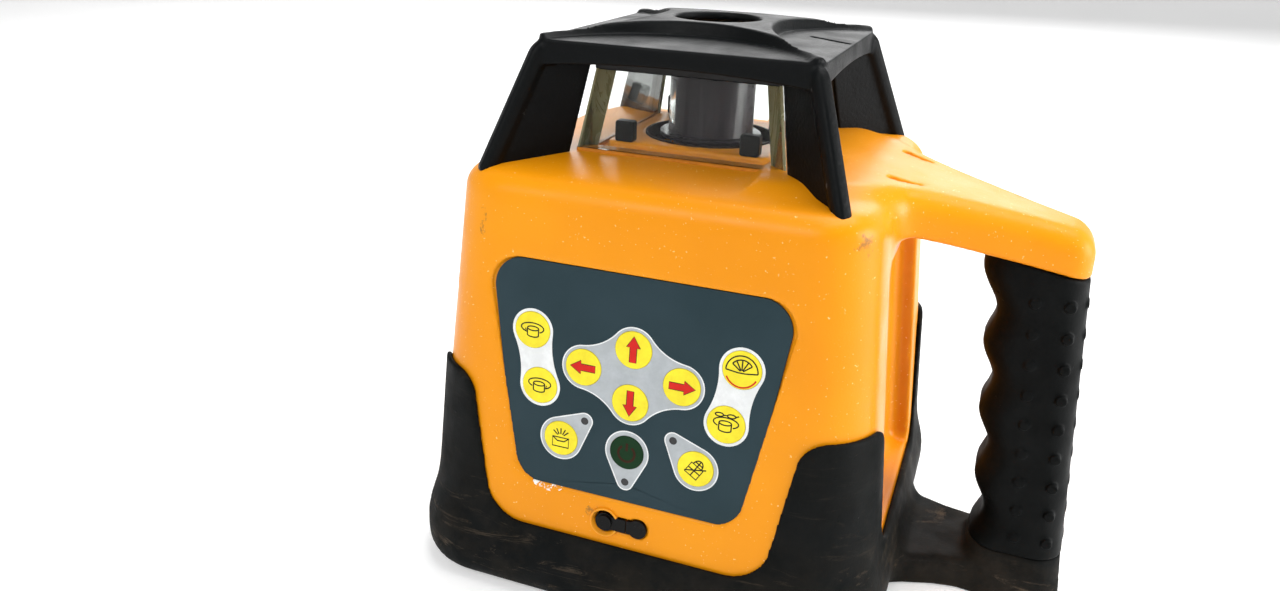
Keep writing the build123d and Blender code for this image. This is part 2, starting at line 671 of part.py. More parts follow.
def cover_parts():
    """The socket's rubber cover, split where its strap bends: moving plug, fixed anchor."""
    whole = strap_groove(0, -STRAP_SUNK + 0.1, 0.3)
    plug = on_wall(JACK_X, JACK_Z, -STRAP_SUNK - 1.4) * extrude(Circle(JACK_HOLE_R - 1.0), 1.6)
    split = ANCHOR_X - JACK_X - JACK_HOLE_R - 0.6
    past = on_wall(JACK_X, JACK_Z, 0) * Pos(split + 20, 0, 0) * Box(40, 20, 20)
    before = on_wall(JACK_X, JACK_Z, 0) * Pos(split - 0.3 - 20, 0, 0) * Box(40, 20, 20)
    dome = on_wall(JACK_X, JACK_Z, 0.3) * extrude(Circle(JACK_HOLE_R - 0.6), 0.7)
    return (whole & before) + plug + dome, whole & past


# ---- battery -------------------------------------------------------------------------------------
def cell_places():
    return [(x, y) for x in (-CELL_R, CELL_R) for y in (CELL_Y0, CELL_Y0 + 2 * CELL_R)]


def battery_cells():
    body = tube(CELL_R - 0.15, 0, CELL_Z0 + 0.6, CELL_Z0 + CELL_L - 1.6)
    tip = tube(3.5, 0, CELL_Z0 + CELL_L - 1.6, CELL_Z0 + CELL_L - 0.2)
    return Compound([Pos(x, y, 0) * (body + tip) for x, y in cell_places()])


def battery_contacts():
    low = tube(5, 0, CELL_Z0, CELL_Z0 + 0.6)
    high = tube(5, 0, CELL_Z0 + CELL_L - 0.2, CELL_Z0 + CELL_L)
    return Compound([Pos(x, y, 0) * pad for x, y in cell_places() for pad in (low, high)])


def battery_box():
    """Open-backed box that holds the four cells against the door."""
    far = CELL_Y0 + 3 * CELL_R - 2.5
    half = 2 * CELL_R + 0.3
    outer = box(-half - BOX_WALL, half + BOX_WALL, CELL_Y0 - CELL_R - 0.3 - BOX_WALL, far,
                CELL_Z0 - BOX_WALL, CELL_Z0 + CELL_L + BOX_WALL)
    return outer - box(-half, half, CELL_Y0 - CELL_R - 0.3, far + 1, CELL_Z0, CELL_Z0 + CELL_L)


def battery_door():
    panel = door_panel(0, DOOR_T, 0)
    latch_hole = on_wall(0, LATCH_Z, 0, 180) * Cylinder(3.2, 4 * DOOR_T)
    barrel = bar_x(HINGE_R, -DOOR_HALF_X, DOOR_HALF_X, hinge_y(), hinge_z())
    pin_hole = bar_x(1.05, -DOOR_HALF_X, DOOR_HALF_X, hinge_y(), hinge_z())
    return panel + barrel - latch_hole - pin_hole


def hinge_z():
    return DOOR_Z0 + 3.5


def hinge_y():
    return half_width(hinge_z()) - 1.6


def door_hinge_pin():
    return bar_x(1.0, -DOOR_HALF_X - 4, DOOR_HALF_X + 4, hinge_y(), hinge_z())


def door_latch():
    """Quarter-turn knob on the door, with a blade across its face and a cam behind."""
    knob = extrude(Circle(LATCH_R), 2.0)
    grip = Pos(0, 0, 2.0) * extrude(RectangleRounded(11, 3.2, 1.4), 2.0)
    shank = Pos(0, 0, -DOOR_T - 0.4) * extrude(Circle(3.1), DOOR_T + 0.4)
    cam = Pos(0, 2.5, -DOOR_T - 2.0) * extrude(RectangleRounded(5, 11, 1.5), 1.6)
    return on_wall(0, LATCH_Z, 0.15, 180) * (knob + grip + shank + cam)


# ---- levelling gear ------------------------------------------------------------------------------
def gimbal_frame():
    """Fixed plate under the roof, with two lugs down to the ring's pivots and a stepper arm."""
    frame = tube(FRAME_OUT_R, FRAME_IN_R, FRAME_Z0, FRAME_Z1)
    for x in (-1, 1):
        inner, outer = sorted((x * (RING_OUT_R + 0.6), x * (FRAME_IN_R + 3)))
        frame += box(inner, outer, -5, 5, PIVOT_Z - 5, FRAME_Z1)
        frame -= bar_x(PIN_R, inner - 1, outer + 1, 0, PIVOT_Z)
    low = PIVOT_Z - LEVER_DROP - STEPPER_TO_LEVER - STEPPER_H
    frame += box(-6, 6, LEVER_AT + STEPPER_R - 1, LEVER_AT + STEPPER_R + 4, low, FRAME_Z1)
    frame -= tube(STEPPER_R, 0, low - 1, PIVOT_Z, 0, LEVER_AT)
    for x, y in corners(POST_AT):
        frame += tube(POST_R, 0, FRAME_Z1, TOP_Z - ROOF_T, x, y)
    return frame


def frame_pins():
    inner, outer = RING_IN_R + 0.4, FRAME_IN_R + 3
    return Compound([bar_x(PIN_R, *sorted((s * inner, s * outer)), 0, PIVOT_Z) for s in (-1, 1)])


def gimbal_ring():
    """Ring between frame and tube, with a lever for one stepper and a clamp for the other."""
    half = RING_H / 2
    ring = tube(RING_OUT_R, RING_IN_R, PIVOT_Z - half, PIVOT_Z + half)
    ring += box(-4, 4, RING_OUT_R - 2, LEVER_AT + 3, PIVOT_Z - LEVER_DROP, PIVOT_Z + 1)
    for s in (-1, 1):
        ring -= bar_x(PIN_R + PIN_CLEAR, *sorted((s * 15, s * 25)), 0, PIVOT_Z)
        ring -= bar_y(PIN_R, *sorted((s * 15, s * 22)), 0, PIVOT_Z)
    x, y = tube_stepper_at()
    top = TUBE_LEVER_Z - STEPPER_TO_LEVER
    hanger = Rot(0, 0, TUBE_LEVER_TURN - 20) * box(18.5, 21.5, -3, 3, top - 10, PIVOT_Z - half + 1)
    clamp = tube(STEPPER_R + 1.8, 0, top - 10, top - 3, x, y)
    return ring + hanger + clamp - tube(STEPPER_R, 0, top - 20, top + 1, x, y)


def tube_stepper_at():
    """Centre of the stepper that tilts the tube against the ring."""
    turn = math.radians(TUBE_LEVER_TURN)
    return TUBE_LEVER_R * math.cos(turn), TUBE_LEVER_R * math.sin(turn)


def ring_pins():
    inner, outer = TUBE_R - 2.5, RING_OUT_R
    return Compound([bar_y(PIN_R, *sorted((s * inner, s * outer)), 0, PIVOT_Z) for s in (-1, 1)])


def motor_place():
    return Rot(0, 0, MOTOR_TURN) * Pos(MOTOR_AT, 0, 0)


def laser_tube():
    """Barrel for the laser, lens and rotor bearings, hung in the gimbal ring."""
    barrel = tube(TUBE_R, TUBE_BORE_R, TUBE_Z0, TUBE_Z1)
    barrel -= tube(BEARING_R, 0, TUBE_Z1 - 2 * BEARING_W - 1, TUBE_Z1 + 1)
    for s in (-1, 1):
        barrel -= bar_y(PIN_R + PIN_CLEAR, *sorted((s * (TUBE_R - 3), s * (TUBE_R + 1))), 0, PIVOT_Z)
    lever = box(TUBE_R - 2, TUBE_LEVER_R + 3, -2.5, 2.5, TUBE_LEVER_Z, TUBE_LEVER_Z + 4)
    arm_z = (TUBE_Z1 - 7.5, TUBE_Z1 - 1)
    cradle = box(TUBE_R - 1, MOTOR_AT - MOTOR_R - 0.5, -3, 3, *arm_z) + tube(MOTOR_R + 1.5, 0, *arm_z, MOTOR_AT)
    cradle -= tube(MOTOR_R, 0, TUBE_Z0, TUBE_Z1 + 5, MOTOR_AT)
    barrel += Rot(0, 0, TUBE_LEVER_TURN) * lever
    return barrel + Rot(0, 0, MOTOR_TURN) * cradle


def rotor_bearings():
    rings = []
    for z in (TUBE_Z1 - 2 * BEARING_W - 1, TUBE_Z1 - BEARING_W):
        rings.append(tube(BEARING_R, BEARING_BORE_R + PIN_CLEAR, z, z + BEARING_W))
    return Compound(rings)


def collimator_lens():
    lens = Pos(0, 0, 106) * Cylinder(TUBE_BORE_R, 4)
    return lens & (Pos(0, 0, 106 - 22) * Sphere(24.0))


def laser_module():
    return tube(TUBE_BORE_R, 0, TUBE_Z0 + 1, TUBE_Z0 + 5) + tube(4.5, 0, TUBE_Z0 + 5, TUBE_Z0 + 12)


def level_vials():
    """Two electronic level vials, one along each tilt axis, clamped under the tube."""
    along_x = bar_x(2.5, -6, 6, -TUBE_R - 2.5, TUBE_Z0 + 6)
    along_y = bar_y(2.5, -6, 6, -TUBE_R - 2.5, TUBE_Z0 + 6)
    return Compound([along_x, along_y])


def facing(solid):
    """Turns a piece of the drum from the front to where its opening faces."""
    return Rot(0, 0, ROTOR_TURN) * solid


def rotor_head():
    """Turning head: shaft in the bearings, neck through the roof, windowed drum on top."""
    shaft = tube(BEARING_BORE_R, BEAM_R, ROTOR_SHAFT_Z0, ROTOR_Z0)
    neck = tube(ROTOR_R - 2, BEAM_R, ROTOR_Z0, PLATEAU_Z)
    flange = tube(FLANGE_R, BEAM_R, PLATEAU_Z - 0.6, PLATEAU_Z + 0.8)
    drum = tube(ROTOR_R, BEAM_R, PLATEAU_Z + 0.8, ROTOR_Z1)
    room = box(-ROOM_HALF, ROOM_HALF, -ROTOR_R - 5, ROOM_HALF, ROOM_Z0, ROOM_Z1)
    return shaft + neck + flange + drum - facing(room)


def pentaprism():
    """Five-sided prism that turns the beam level, seated in the drum."""
    with BuildSketch(Plane.YZ) as outline:
        with BuildLine():
            Polyline(
                (-PRISM_HALF, PRISM_Z0),
                (PRISM_HALF, PRISM_Z0),
                (PRISM_HALF, PRISM_Z1 - 4),
                (1.5, PRISM_Z1),
                (-PRISM_HALF, PRISM_Z1),
                close=True,
            )
        make_face()
    return facing(extrude(outline.sketch, PRISM_HALF, both=True))


def rotor_window():
    """Curved clear window over the drum's opening."""
    ring = tube(ROTOR_R, ROTOR_R - 1.5, ROOM_Z0, ROOM_Z1)
    return facing(ring & box(-ROOM_HALF, ROOM_HALF, -ROTOR_R - 5, 0, ROOM_Z0, ROOM_Z1))


def rotor_pulley():
    """Belt pulley on the rotor's shaft, moulded with the speed encoder's disc."""
    wheel = tube(PULLEY_R, BEARING_BORE_R, PULLEY_Z0, PULLEY_Z0 + PULLEY_H)
    wheel += tube(PULLEY_R + 1, BEARING_BORE_R, PULLEY_Z0 + PULLEY_H, PULLEY_Z0 + PULLEY_H + 0.8)
    return wheel


def drive_motor():
    return motor_place() * tube(MOTOR_R, 1.2, PULLEY_Z0 - 1 - MOTOR_H, PULLEY_Z0 - 1)


def motor_pulley():
    wheel = tube(MOTOR_PULLEY_R, 0, PULLEY_Z0, PULLEY_Z0 + PULLEY_H)
    return motor_place() * (wheel + tube(1.0, 0, PULLEY_Z0 - 1 - MOTOR_H, PULLEY_Z0))


def drive_belt():
    """Flat belt around both pulleys, 0.8 mm thick."""
    def loop(extra):
        big = Circle(PULLEY_R + extra)
        small = Pos(MOTOR_AT, 0) * Circle(MOTOR_PULLEY_R + extra)
        return make_hull(big.edges() + small.edges())
    band = loop(0.9) - loop(0.1)
    return Rot(0, 0, MOTOR_TURN) * Pos(0, 0, PULLEY_Z0 + 0.6) * extrude(band, PULLEY_H - 1.2)


def stepper(x, y, top):
    """Body of a small linear stepper, standing under the lever that it lifts."""
    bore = PUSHER_R + PIN_CLEAR
    return tube(STEPPER_R, 0, top - STEPPER_H, top, x, y) - tube(bore, 0, top - STEPPER_H + 1, top + 1, x, y)


def pusher(x, y, top):
    """The stepper's rod, with its tip just under the lever."""
    return tube(PUSHER_R, 0, top - STEPPER_H + 4.5, top + STEPPER_TO_LEVER - 0.3, x, y)


def boards():
    main = box(-56.6, -55, -34, 34, 88, 128) + box(-55, -51, -10, 6, 96, 112)
    return main


def buzzer():
    return tube(6, 0, 88, 92, -40, -42) - tube(1.2, 0, 90, 93, -40, -42)


def screws():
    shank = tube(SCREW_R, 0, 0.8, BASE_Z + SCREW_L)
    head = tube(SCREW_HEAD_R, 0, 0.8, 3)
    slot = box(-3, 3, -0.5, 0.5, 0, 1.8)
    return Compound([Pos(x, y, 0) * (shank + head - slot) for x, y in corners(SCREW_AT)])


def make_parts():
    spine = handle_spine()
    housing = main_housing(spine)
    skirt = boot_skirt()
    ring = glass_ring()
    cover, anchor = cover_parts()
    parts = {
        "main_housing": housing,
        "base_plate": base_plate(),
        "rubber_boot": rubber_boot(skirt),
        "handle_foot": handle_foot(skirt, spine),
        "handle_spine": spine,
        "handle_grip": handle_grip(spine),
        "top_cage": top_cage(housing),
        "window_panes": window_panes(ring),
        "window_seals": window_seals(ring),
        "window_gaskets": window_gaskets(),
        "window_clips": window_clips(),
        "dust_ring": dust_ring(),
        "tripod_insert": thread_insert(Location((0, 0, 0))),
        "side_insert": side_insert(),
        "keypad_overlay": keypad_overlay(),
        "status_leds": status_leds(),
        "keypad_board": keypad_board(),
        "main_board": boards(),
        "buzzer": buzzer(),
        "charge_socket": charge_socket(),
        "socket_cover": cover,
        "socket_cover_anchor": anchor,
        "battery_box": battery_box(),
        "battery_cells": battery_cells(),
        "battery_contacts": battery_contacts(),
        "battery_door": battery_door(),
        "door_hinge_pin": door_hinge_pin(),
        "door_latch": door_latch(),
        "housing_screws": screws(),
        "gimbal_frame": gimbal_frame(),
        "frame_pins": frame_pins(),
        "gimbal_ring": gimbal_ring(),
        "ring_pins": ring_pins(),
        "laser_tube": laser_tube(),
        "rotor_bearings": rotor_bearings(),
        "collimator_lens": collimator_lens(),
        "laser_module": laser_module(),
        "level_vials": level_vials(),
        "rotor_head": rotor_head(),
        "pentaprism": pentaprism(),
        "rotor_window": rotor_window(),
        "rotor_pulley": rotor_pulley(),
        "drive_motor": drive_motor(),
        "motor_pulley": motor_pulley(),
        "drive_belt": drive_belt(),
        "frame_stepper": stepper(0, LEVER_AT, PIVOT_Z - LEVER_DROP - STEPPER_TO_LEVER),
        "frame_stepper_rod": pusher(0, LEVER_AT, PIVOT_Z - LEVER_DROP - STEPPER_TO_LEVER),
        "tube_stepper": stepper(*tube_stepper_at(), TUBE_LEVER_Z - STEPPER_TO_LEVER),
        "tube_stepper_rod": pusher(*tube_stepper_at(), TUBE_LEVER_Z - STEPPER_TO_LEVER),
    }
    for name, (x, z, radius) in KEYS.items():
        parts[name] = key(x, z, radius)
    return parts


os.makedirs("parts", exist_ok=True)
for name, shape in make_parts().items():
    shape.label = name
    export_step(shape, f"parts/{name}.step")
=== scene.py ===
"""Looks of the rotating laser level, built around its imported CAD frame."""
import math

import bmesh
import bpy
import numpy as np
import openvdb
from mathutils import Matrix, Vector


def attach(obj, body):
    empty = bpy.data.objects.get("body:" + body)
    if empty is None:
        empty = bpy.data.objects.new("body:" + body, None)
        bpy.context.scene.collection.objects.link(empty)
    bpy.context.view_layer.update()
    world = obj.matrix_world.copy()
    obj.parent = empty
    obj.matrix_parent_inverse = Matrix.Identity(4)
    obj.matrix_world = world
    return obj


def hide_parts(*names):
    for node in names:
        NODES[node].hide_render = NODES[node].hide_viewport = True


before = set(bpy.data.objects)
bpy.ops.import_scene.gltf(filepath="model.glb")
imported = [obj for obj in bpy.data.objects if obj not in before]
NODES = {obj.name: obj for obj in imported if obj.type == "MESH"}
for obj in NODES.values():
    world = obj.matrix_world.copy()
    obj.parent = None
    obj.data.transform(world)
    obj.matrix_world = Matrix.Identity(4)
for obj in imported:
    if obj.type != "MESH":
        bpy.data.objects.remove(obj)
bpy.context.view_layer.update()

# ---- sizes, all in millimetres; MM turns them into metres ------------------------------------------
MM = 0.001
REF_Z, REF_HALF, REF_CORNER = 138.0, 66.5, 19.5
TAPER, CORNER_GROWTH = 0.09, 0.036
LEAN = math.atan(TAPER)
COS_LEAN = math.cos(LEAN)
BASE_Z, TOP_Z = 6.0, 147.3
WALL, ROOF_T = 3.0, 5.0
SHIFT_X, WIDER_X = 0.75, 2.25    # the housing's middle in X, and its extra half width there
TOP_RING_HALF, ROOF_SLOPE = 38.0, 0.135
PLATEAU_HALF, PLATEAU_Z = 28.0, 150.0
ROTOR_HOLE_R = 22.6
RECESS_DEPTH, RECESS_Z = 8.0, 74.8
RECESS_HALF_Y, RECESS_HALF_Z = 36.0, 48.2
ARM_ROOT_X, ARM_TIP_X = 66.0, 129.8
ARM_LOW_Z = 132.3                # the arm's underside at its root
NOTCH_LENGTH = 9.0               # two small wedge-shaped marks on the arm's root
PAD_TOP_Z, PAD_LOW_Z, PAD_R = 119.0, 42.4, 10.0
PAD_TOP_X, PAD_LOW_X = 50.6, 40.0
POCKET_DEPTH = 1.6
DOOR_Z, DOOR_HALF_X, DOOR_HALF_UP = 57.0, 31.4, 27.5
DOOR_DEPTH = 8.0
BOSS_Z, BOSS_FACE_X = 66.0, -77.0
BOSS_R, BOSS_BORE_R = 17.0, 13.0
KEYS = {
    "key_spin_fast": (-35.0, 95.5, 6.15),
    "key_spin_slow": (-31.7, 77.0, 6.15),
    "key_scan_fan": (35.0, 95.5, 6.15),
    "key_scan_step": (31.7, 77.0, 6.15),
    "key_arrow_up": (0.0, 95.2, 6.15),
    "key_arrow_down": (0.0, 77.4, 6.15),
    "key_arrow_left": (-16.6, 86.2, 6.15),
    "key_arrow_right": (16.6, 86.2, 6.15),
    "key_beam": (-23.3, 60.0, 5.95),
    "key_power": (0.0, 60.2, 5.75),
    "key_tilt_alarm": (23.3, 60.0, 5.95),
}
LEDS = ((-15.2, 67.8), (0.0, 49.7), (15.2, 67.8))
OVERLAY_DEPTH = -0.6    # the overlay's face, from the wall's face
KEY_DEPTH = -0.3        # the keys' faces
JACK_X, JACK_Z, ANCHOR_X = -5.9, 34.0, 5.6
SOCKET_R, SOCKET_DEPTH = 3.8, 8.0
STRAP_GROOVE_R, ANCHOR_R, GROOVE_DEPTH = 2.7, 3.6, 1.2
BOOT_TOP_Z, BOOT_GAP_Z = 77.6, 26.6    # tips of the petals, and the low edge between them
LOWER_ARM_Z, SEAM_Z = 12.0, 9.2
GRIP_FOOT_Z, GRIP_TOP_Z = 18.0, 118.0
GRIP_IN_X, GRIP_OUT_X = 100.3, 130.0   # the grip's edges at GRIP_TOP_Z
FINGER_PITCH, FINGER_DEPTH, FIRST_FINGER_Z = 24.4, 1.85, 103.7
STUD_R, STUD_PITCH, FIRST_STUD_Z = 1.85, 10.62, 110.4
CAP_HALF, CAP_CORNER_Z = 46.0, 185.0
CAP_DOME_Z, CAP_DOME_R = 189.9, 415.0
CAP_HOLE_R = 14.5
SCOOP_R, SCOOP_MIDDLE = 50.0, 70.0
FIN_TOP_Z = 183.6


# ---- distance fields -------------------------------------------------------------------------------
def axes(low, high, voxel):
    """Sample positions along X, Y and Z, shaped so that they broadcast into a grid."""
    lines = [np.arange(a, b + voxel, voxel, dtype=np.float32) for a, b in zip(low, high)]
    return lines[0][:, None, None], lines[1][None, :, None], lines[2][None, None, :]


def join(a, b, r):
    """Union of two distances with a fillet of radius r."""
    if r <= 0:
        return np.minimum(a, b)
    u, v = np.maximum(r - a, 0), np.maximum(r - b, 0)
    return np.maximum(r, np.minimum(a, b)) - np.sqrt(u * u + v * v)


def meet(a, b, r=0.0):
    """Intersection of two distances with a rounded edge of radius r."""
    return -join(-a, -b, r)


def cut(a, b, r=0.0):
    """a without b, its rim rounded by r."""
    return meet(a, -b, r)


def rounded_rect(u, v, half_u, half_v, r):
    """Distance to a rounded rectangle."""
    p, q = np.abs(u) - half_u + r, np.abs(v) - half_v + r
    outside = np.hypot(np.maximum(p, 0), np.maximum(q, 0))
    return outside + np.minimum(np.maximum(p, q), 0) - r


def slab(x, low, high):
    """Distance to the space between two parallel planes."""
    return np.maximum(low - x, x - high)


def polygon(u, v, points, r=0.0):
    """Distance to a closed outline on a plane, grown by r."""
    best = np.full(np.broadcast(u, v).shape, 1e9, np.float32)
    inside = np.zeros(best.shape, bool)
    for (x0, y0), (x1, y1) in zip(points, points[1:] + points[:1]):
        ex, ey = x1 - x0, y1 - y0
        t = np.clip(((u - x0) * ex + (v - y0) * ey) / (ex * ex + ey * ey), 0, 1)
        best = np.minimum(best, np.hypot(u - x0 - t * ex, v - y0 - t * ey))
        crosses = (y0 <= v) != (y1 <= v)
        slope = ex / ey if ey else 0.0
        inside ^= crosses & (u < x0 + (v - y0) * slope)
    return np.where(inside, -best, best) - r


def smooth_step(x):
    """0 below zero and 1 above one, with a soft rise between."""
    x = np.clip(x, 0, 1)
    return x * x * (3 - 2 * x)


def smooth_ramp(x, width):
    """0 below zero and x above it, with a bend about width long."""
    return 0.5 * (x + np.sqrt(x * x + width * width))


def drop_crumbs(mesh, fewest=200):
    """Deletes loose pieces of fewer vertices than that."""
    bm = bmesh.new()
    bm.from_mesh(mesh)
    left, crumbs = set(bm.verts), []
    while left:
        edge = [left.pop()]
        piece = list(edge)
        while edge:
            vertex = edge.pop()
            near = {link.other_vert(vertex) for link in vertex.link_edges} & left
            left -= near
            edge += near
            piece += near
        if len(piece) < fewest:
            crumbs += piece
    bmesh.ops.delete(bm, geom=crumbs, context="VERTS")
    bm.to_mesh(mesh)
    bm.free()


def surface(name, field, low, voxel, adaptivity=0.02):
    """Mesh object from the zero level of a distance field."""
    grid = openvdb.FloatGrid()
    grid.background = 5.0
    grid.copyFromArray(np.ascontiguousarray(np.clip(field, -3 * voxel, 3 * voxel), dtype=np.float32))
    points, triangles, quads = grid.convertToPolygons(isovalue=0.0, adaptivity=adaptivity)
    mesh = bpy.data.meshes.new(name)
    faces = [tuple(reversed(face)) for face in triangles.tolist() + quads.tolist()]
    mesh.from_pydata(((points * voxel + np.array(low)) * MM).tolist(), [], faces)
    mesh.validate()
    drop_crumbs(mesh)
    mesh.polygons.foreach_set("use_smooth", [True] * len(mesh.polygons))
    obj = bpy.data.objects.new(name, mesh)
    bpy.context.scene.collection.objects.link(obj)
    return obj


# ---- housing shape ---------------------------------------------------------------------------------
def half_width(z):
    return REF_HALF + TAPER * (REF_Z - z)


def body_wall(x, y, z, grow=0.0):
    """Distance to the leaning four-sided wall."""
    half = half_width(z) + grow
    radius = REF_CORNER + CORNER_GROWTH * (REF_Z - z) + grow
    return rounded_rect(x - SHIFT_X, y, half + WIDER_X, half, radius) * COS_LEAN


def roof(x, y, z):
    """Distance above the roof, which falls away from the flat ring under the glass."""
    out = np.maximum(np.maximum(np.abs(x - SHIFT_X) - WIDER_X, np.abs(y)) - TOP_RING_HALF, 0)
    return z - (TOP_Z - ROOF_SLOPE * out)


def arm_half_y(x):
    """Half width of the upper arm along its length."""
    return np.interp(x, (40, 60, 66, 72, 78, 84, 90, 96, 110, 122, 131),
                     (52, 41, 34.5, 29.6, 26.1, 23.4, 21.3, 19.5, 15.4, 12.8, 12.8))


def arm_top_z(x):
    return TOP_Z - 0.3 - 0.212 * smooth_ramp(x - ARM_ROOT_X, 6.0)


def arm_low_z(x):
    return ARM_LOW_Z - 0.214 * (x - ARM_ROOT_X)


def upper_arm(x, y, z):
    """The handle's upper arm, from inside the housing to its rounded tip."""
    sides = (np.abs(y) - arm_half_y(x)) * 0.95
    section = meet(sides, z - arm_top_z(x), 8.0)
    tip = meet(section, x - ARM_TIP_X, 8.0)
    return meet(meet(tip, arm_low_z(x) - z, 1.8), 30 - x)


def finger_recess(x, y, z, grow=0.0):
    """Room for the fingers in the handle's wall."""
    floor = half_width(z) + SHIFT_X + WIDER_X - RECESS_DEPTH - grow - x
    opening = rounded_rect(y, z - RECESS_Z, RECESS_HALF_Y + grow, RECESS_HALF_Z + grow, 4.5)
    return meet(floor * COS_LEAN, opening, 5.0)


def wall_height(z):
    """Distance up a leaning wall."""
    return z / COS_LEAN


def out_of_wall(v, z):
    """Distance out of the leaning wall that faces along v."""
    return (v - half_width(z)) * COS_LEAN


def keypad_pocket(x, y, z):
    """Room for the overlay, wider at the top than at the bottom."""
    inner = []
    for px, pz, drop in ((PAD_TOP_X, PAD_TOP_Z, -PAD_R), (PAD_LOW_X, PAD_LOW_Z, PAD_R)):
        inner.append((px - PAD_R - 0.5, wall_height(pz + drop)))
    right, low_right = inner
    corners = [(-right[0], right[1]), right, low_right, (-low_right[0], low_right[1])]
    outline = polygon(x, wall_height(z), corners, PAD_R)
    return meet(outline, -(out_of_wall(-y, z) + POCKET_DEPTH))


def strap_groove(x, y, z):
    """Shallow groove for the socket cover's strap, wider at the anchor."""
    up = wall_height(z) - wall_height(JACK_Z)
    strap = np.hypot(x - np.clip(x, JACK_X, ANCHOR_X), up) - STRAP_GROOVE_R
    anchor = np.hypot(x - ANCHOR_X, up) - ANCHOR_R
    return meet(np.minimum(strap, anchor), -(out_of_wall(-y, z) + GROOVE_DEPTH))


def socket_hole(x, y, z):
    up = wall_height(z) - wall_height(JACK_Z)
    return meet(np.hypot(x - JACK_X, up) - SOCKET_R, -(out_of_wall(-y, z) + SOCKET_DEPTH))


def door_opening(x, y, z):
    up = wall_height(z) - wall_height(DOOR_Z)
    outline = rounded_rect(x, up, DOOR_HALF_X, DOOR_HALF_UP, 4.0)
    return meet(outline, -(out_of_wall(y, z) + DOOR_DEPTH))


def arm_notch(x, y, z, side):
    """Wedge-shaped mark on the arm's root, round at its wide end."""
    along = np.clip((x - ARM_ROOT_X) / NOTCH_LENGTH, 0, 1)
    past = np.maximum(np.maximum(ARM_ROOT_X - x, x - ARM_ROOT_X - NOTCH_LENGTH), 0)
    wedge = np.hypot(past, y - side * (18.7 - 2.7 * along)) - (1.6 - 1.3 * along)
    return meet(wedge, arm_top_z(x) - 1.8 - z)


def housing_mesh():
    voxel, low, high = 0.75, (-80.5, -80.5, 4.0), (132.0, 80.5, 152.0)
    x, y, z = axes(low, high, voxel)
    wall = body_wall(x, y, z)
    body = meet(wall, roof(x, y, z), 6.5)
    body = cut(body, finger_recess(x, y, z), 1.3)
    body = join(body, upper_arm(x, y, z), 6.0)
    inside = meet(wall + WALL, roof(x, y, z) + ROOF_T)
    inside = cut(inside, finger_recess(x, y, z, WALL))
    ledge = meet(rounded_rect(x, y, PLATEAU_HALF, PLATEAU_HALF, 3.0), z - PLATEAU_Z, 0.9)
    body = join(body, meet(ledge, 140 - z), 0.8)
    body = cut(body, keypad_pocket(x, y, z), 0.5)
    body = cut(body, strap_groove(x, y, z), 0.4)
    body = cut(body, socket_hole(x, y, z), 0.4)
    body = cut(body, door_opening(x, y, z), 0.6)
    boss_r = np.hypot(y, z - BOSS_Z)
    boss = meet(boss_r - BOSS_R, BOSS_FACE_X - x, 1.0)
    body = join(body, meet(boss, x + 62), 1.5)
    body = cut(body, inside)
    body = join(body, meet(meet(boss_r - BOSS_R + 1, BOSS_FACE_X - x), x + 59.5), 0)
    body = cut(body, meet(boss_r - BOSS_BORE_R, x + 50.0), 0.3)
    body = cut(body, np.hypot(x, y) + 0 * z - ROTOR_HOLE_R, 0.5)
    for side in (-1, 1):
        body = cut(body, arm_notch(x, y, z, side), 0.4)
    body = meet(body, BASE_Z - z, 0.5)
    return surface("housing_shell", body, low, voxel)


# ---- boot, grip and cage shapes --------------------------------------------------------------------
def boot_half(z):
    """Half depth of the boot: thin petals above a bumper that swells out low down."""
    heights = (-1, 0, 1.2, 3, 5.5, 8, 10.5, 13, 15.5, 18, 21, 24, 26.5, 29, 32, 36, 44, 90)
    halves = (74.6, 76.4, 78.2, 79.9, 80.9, 81.35, 81.45, 81.45, 81.3, 80.85, 80.1, 79.2, 78.5,
              77.9, 77.4, 76.9, 76.3, half_width(90) + 2.3)
    return np.interp(z, heights, halves)


def petal_gap(u, v, low_half, high_half, corner):
    """The boot's dip between two petals, on one wall."""
    rise = (high_half - low_half) / 49.0
    top = 100.0
    foot = (low_half - corner, BOOT_GAP_Z + corner)
    head = (low_half + rise * (top - BOOT_GAP_Z) - corner, top)
    outline = polygon(u, v, [(-foot[0], foot[1]), foot, head, (-head[0], top)], corner)
    petal_tips = 76.8 + 0.05 * (np.abs(u) - 57.0) - v
    return join(outline, petal_tips, 7.0)


def grip_inner_x(z):
    """The grip's wavy edge, which flares at both ends."""
    wave = np.cos(2 * np.pi * (z - FIRST_FINGER_Z) / FINGER_PITCH)
    flare = 0.45 * smooth_ramp(19.0 - z, 4.0) + 0.35 * smooth_ramp(z - 114.0, 4.0)
    return GRIP_IN_X + 0.097 * (GRIP_TOP_Z - z) + FINGER_DEPTH * wave - flare


def grip_outer_x(z):
    return GRIP_OUT_X + 0.087 * (GRIP_TOP_Z - z)


def grip_half_y(z):
    return 16.0 - 0.034 * (z - GRIP_FOOT_Z)


def grip_section(x, y, z):
    inner, outer = grip_inner_x(z), grip_outer_x(z)
    return rounded_rect(x - (inner + outer) / 2, y, (outer - inner) / 2, grip_half_y(z), 10.5)


def lower_arm_half_y(x):
    """Half width of the lower arm along its length."""
    return np.interp(x, (58, 72, 80, 88, 98, 108, 120, 142), (36, 30, 26, 22, 18.5, 16.6, 16, 16))


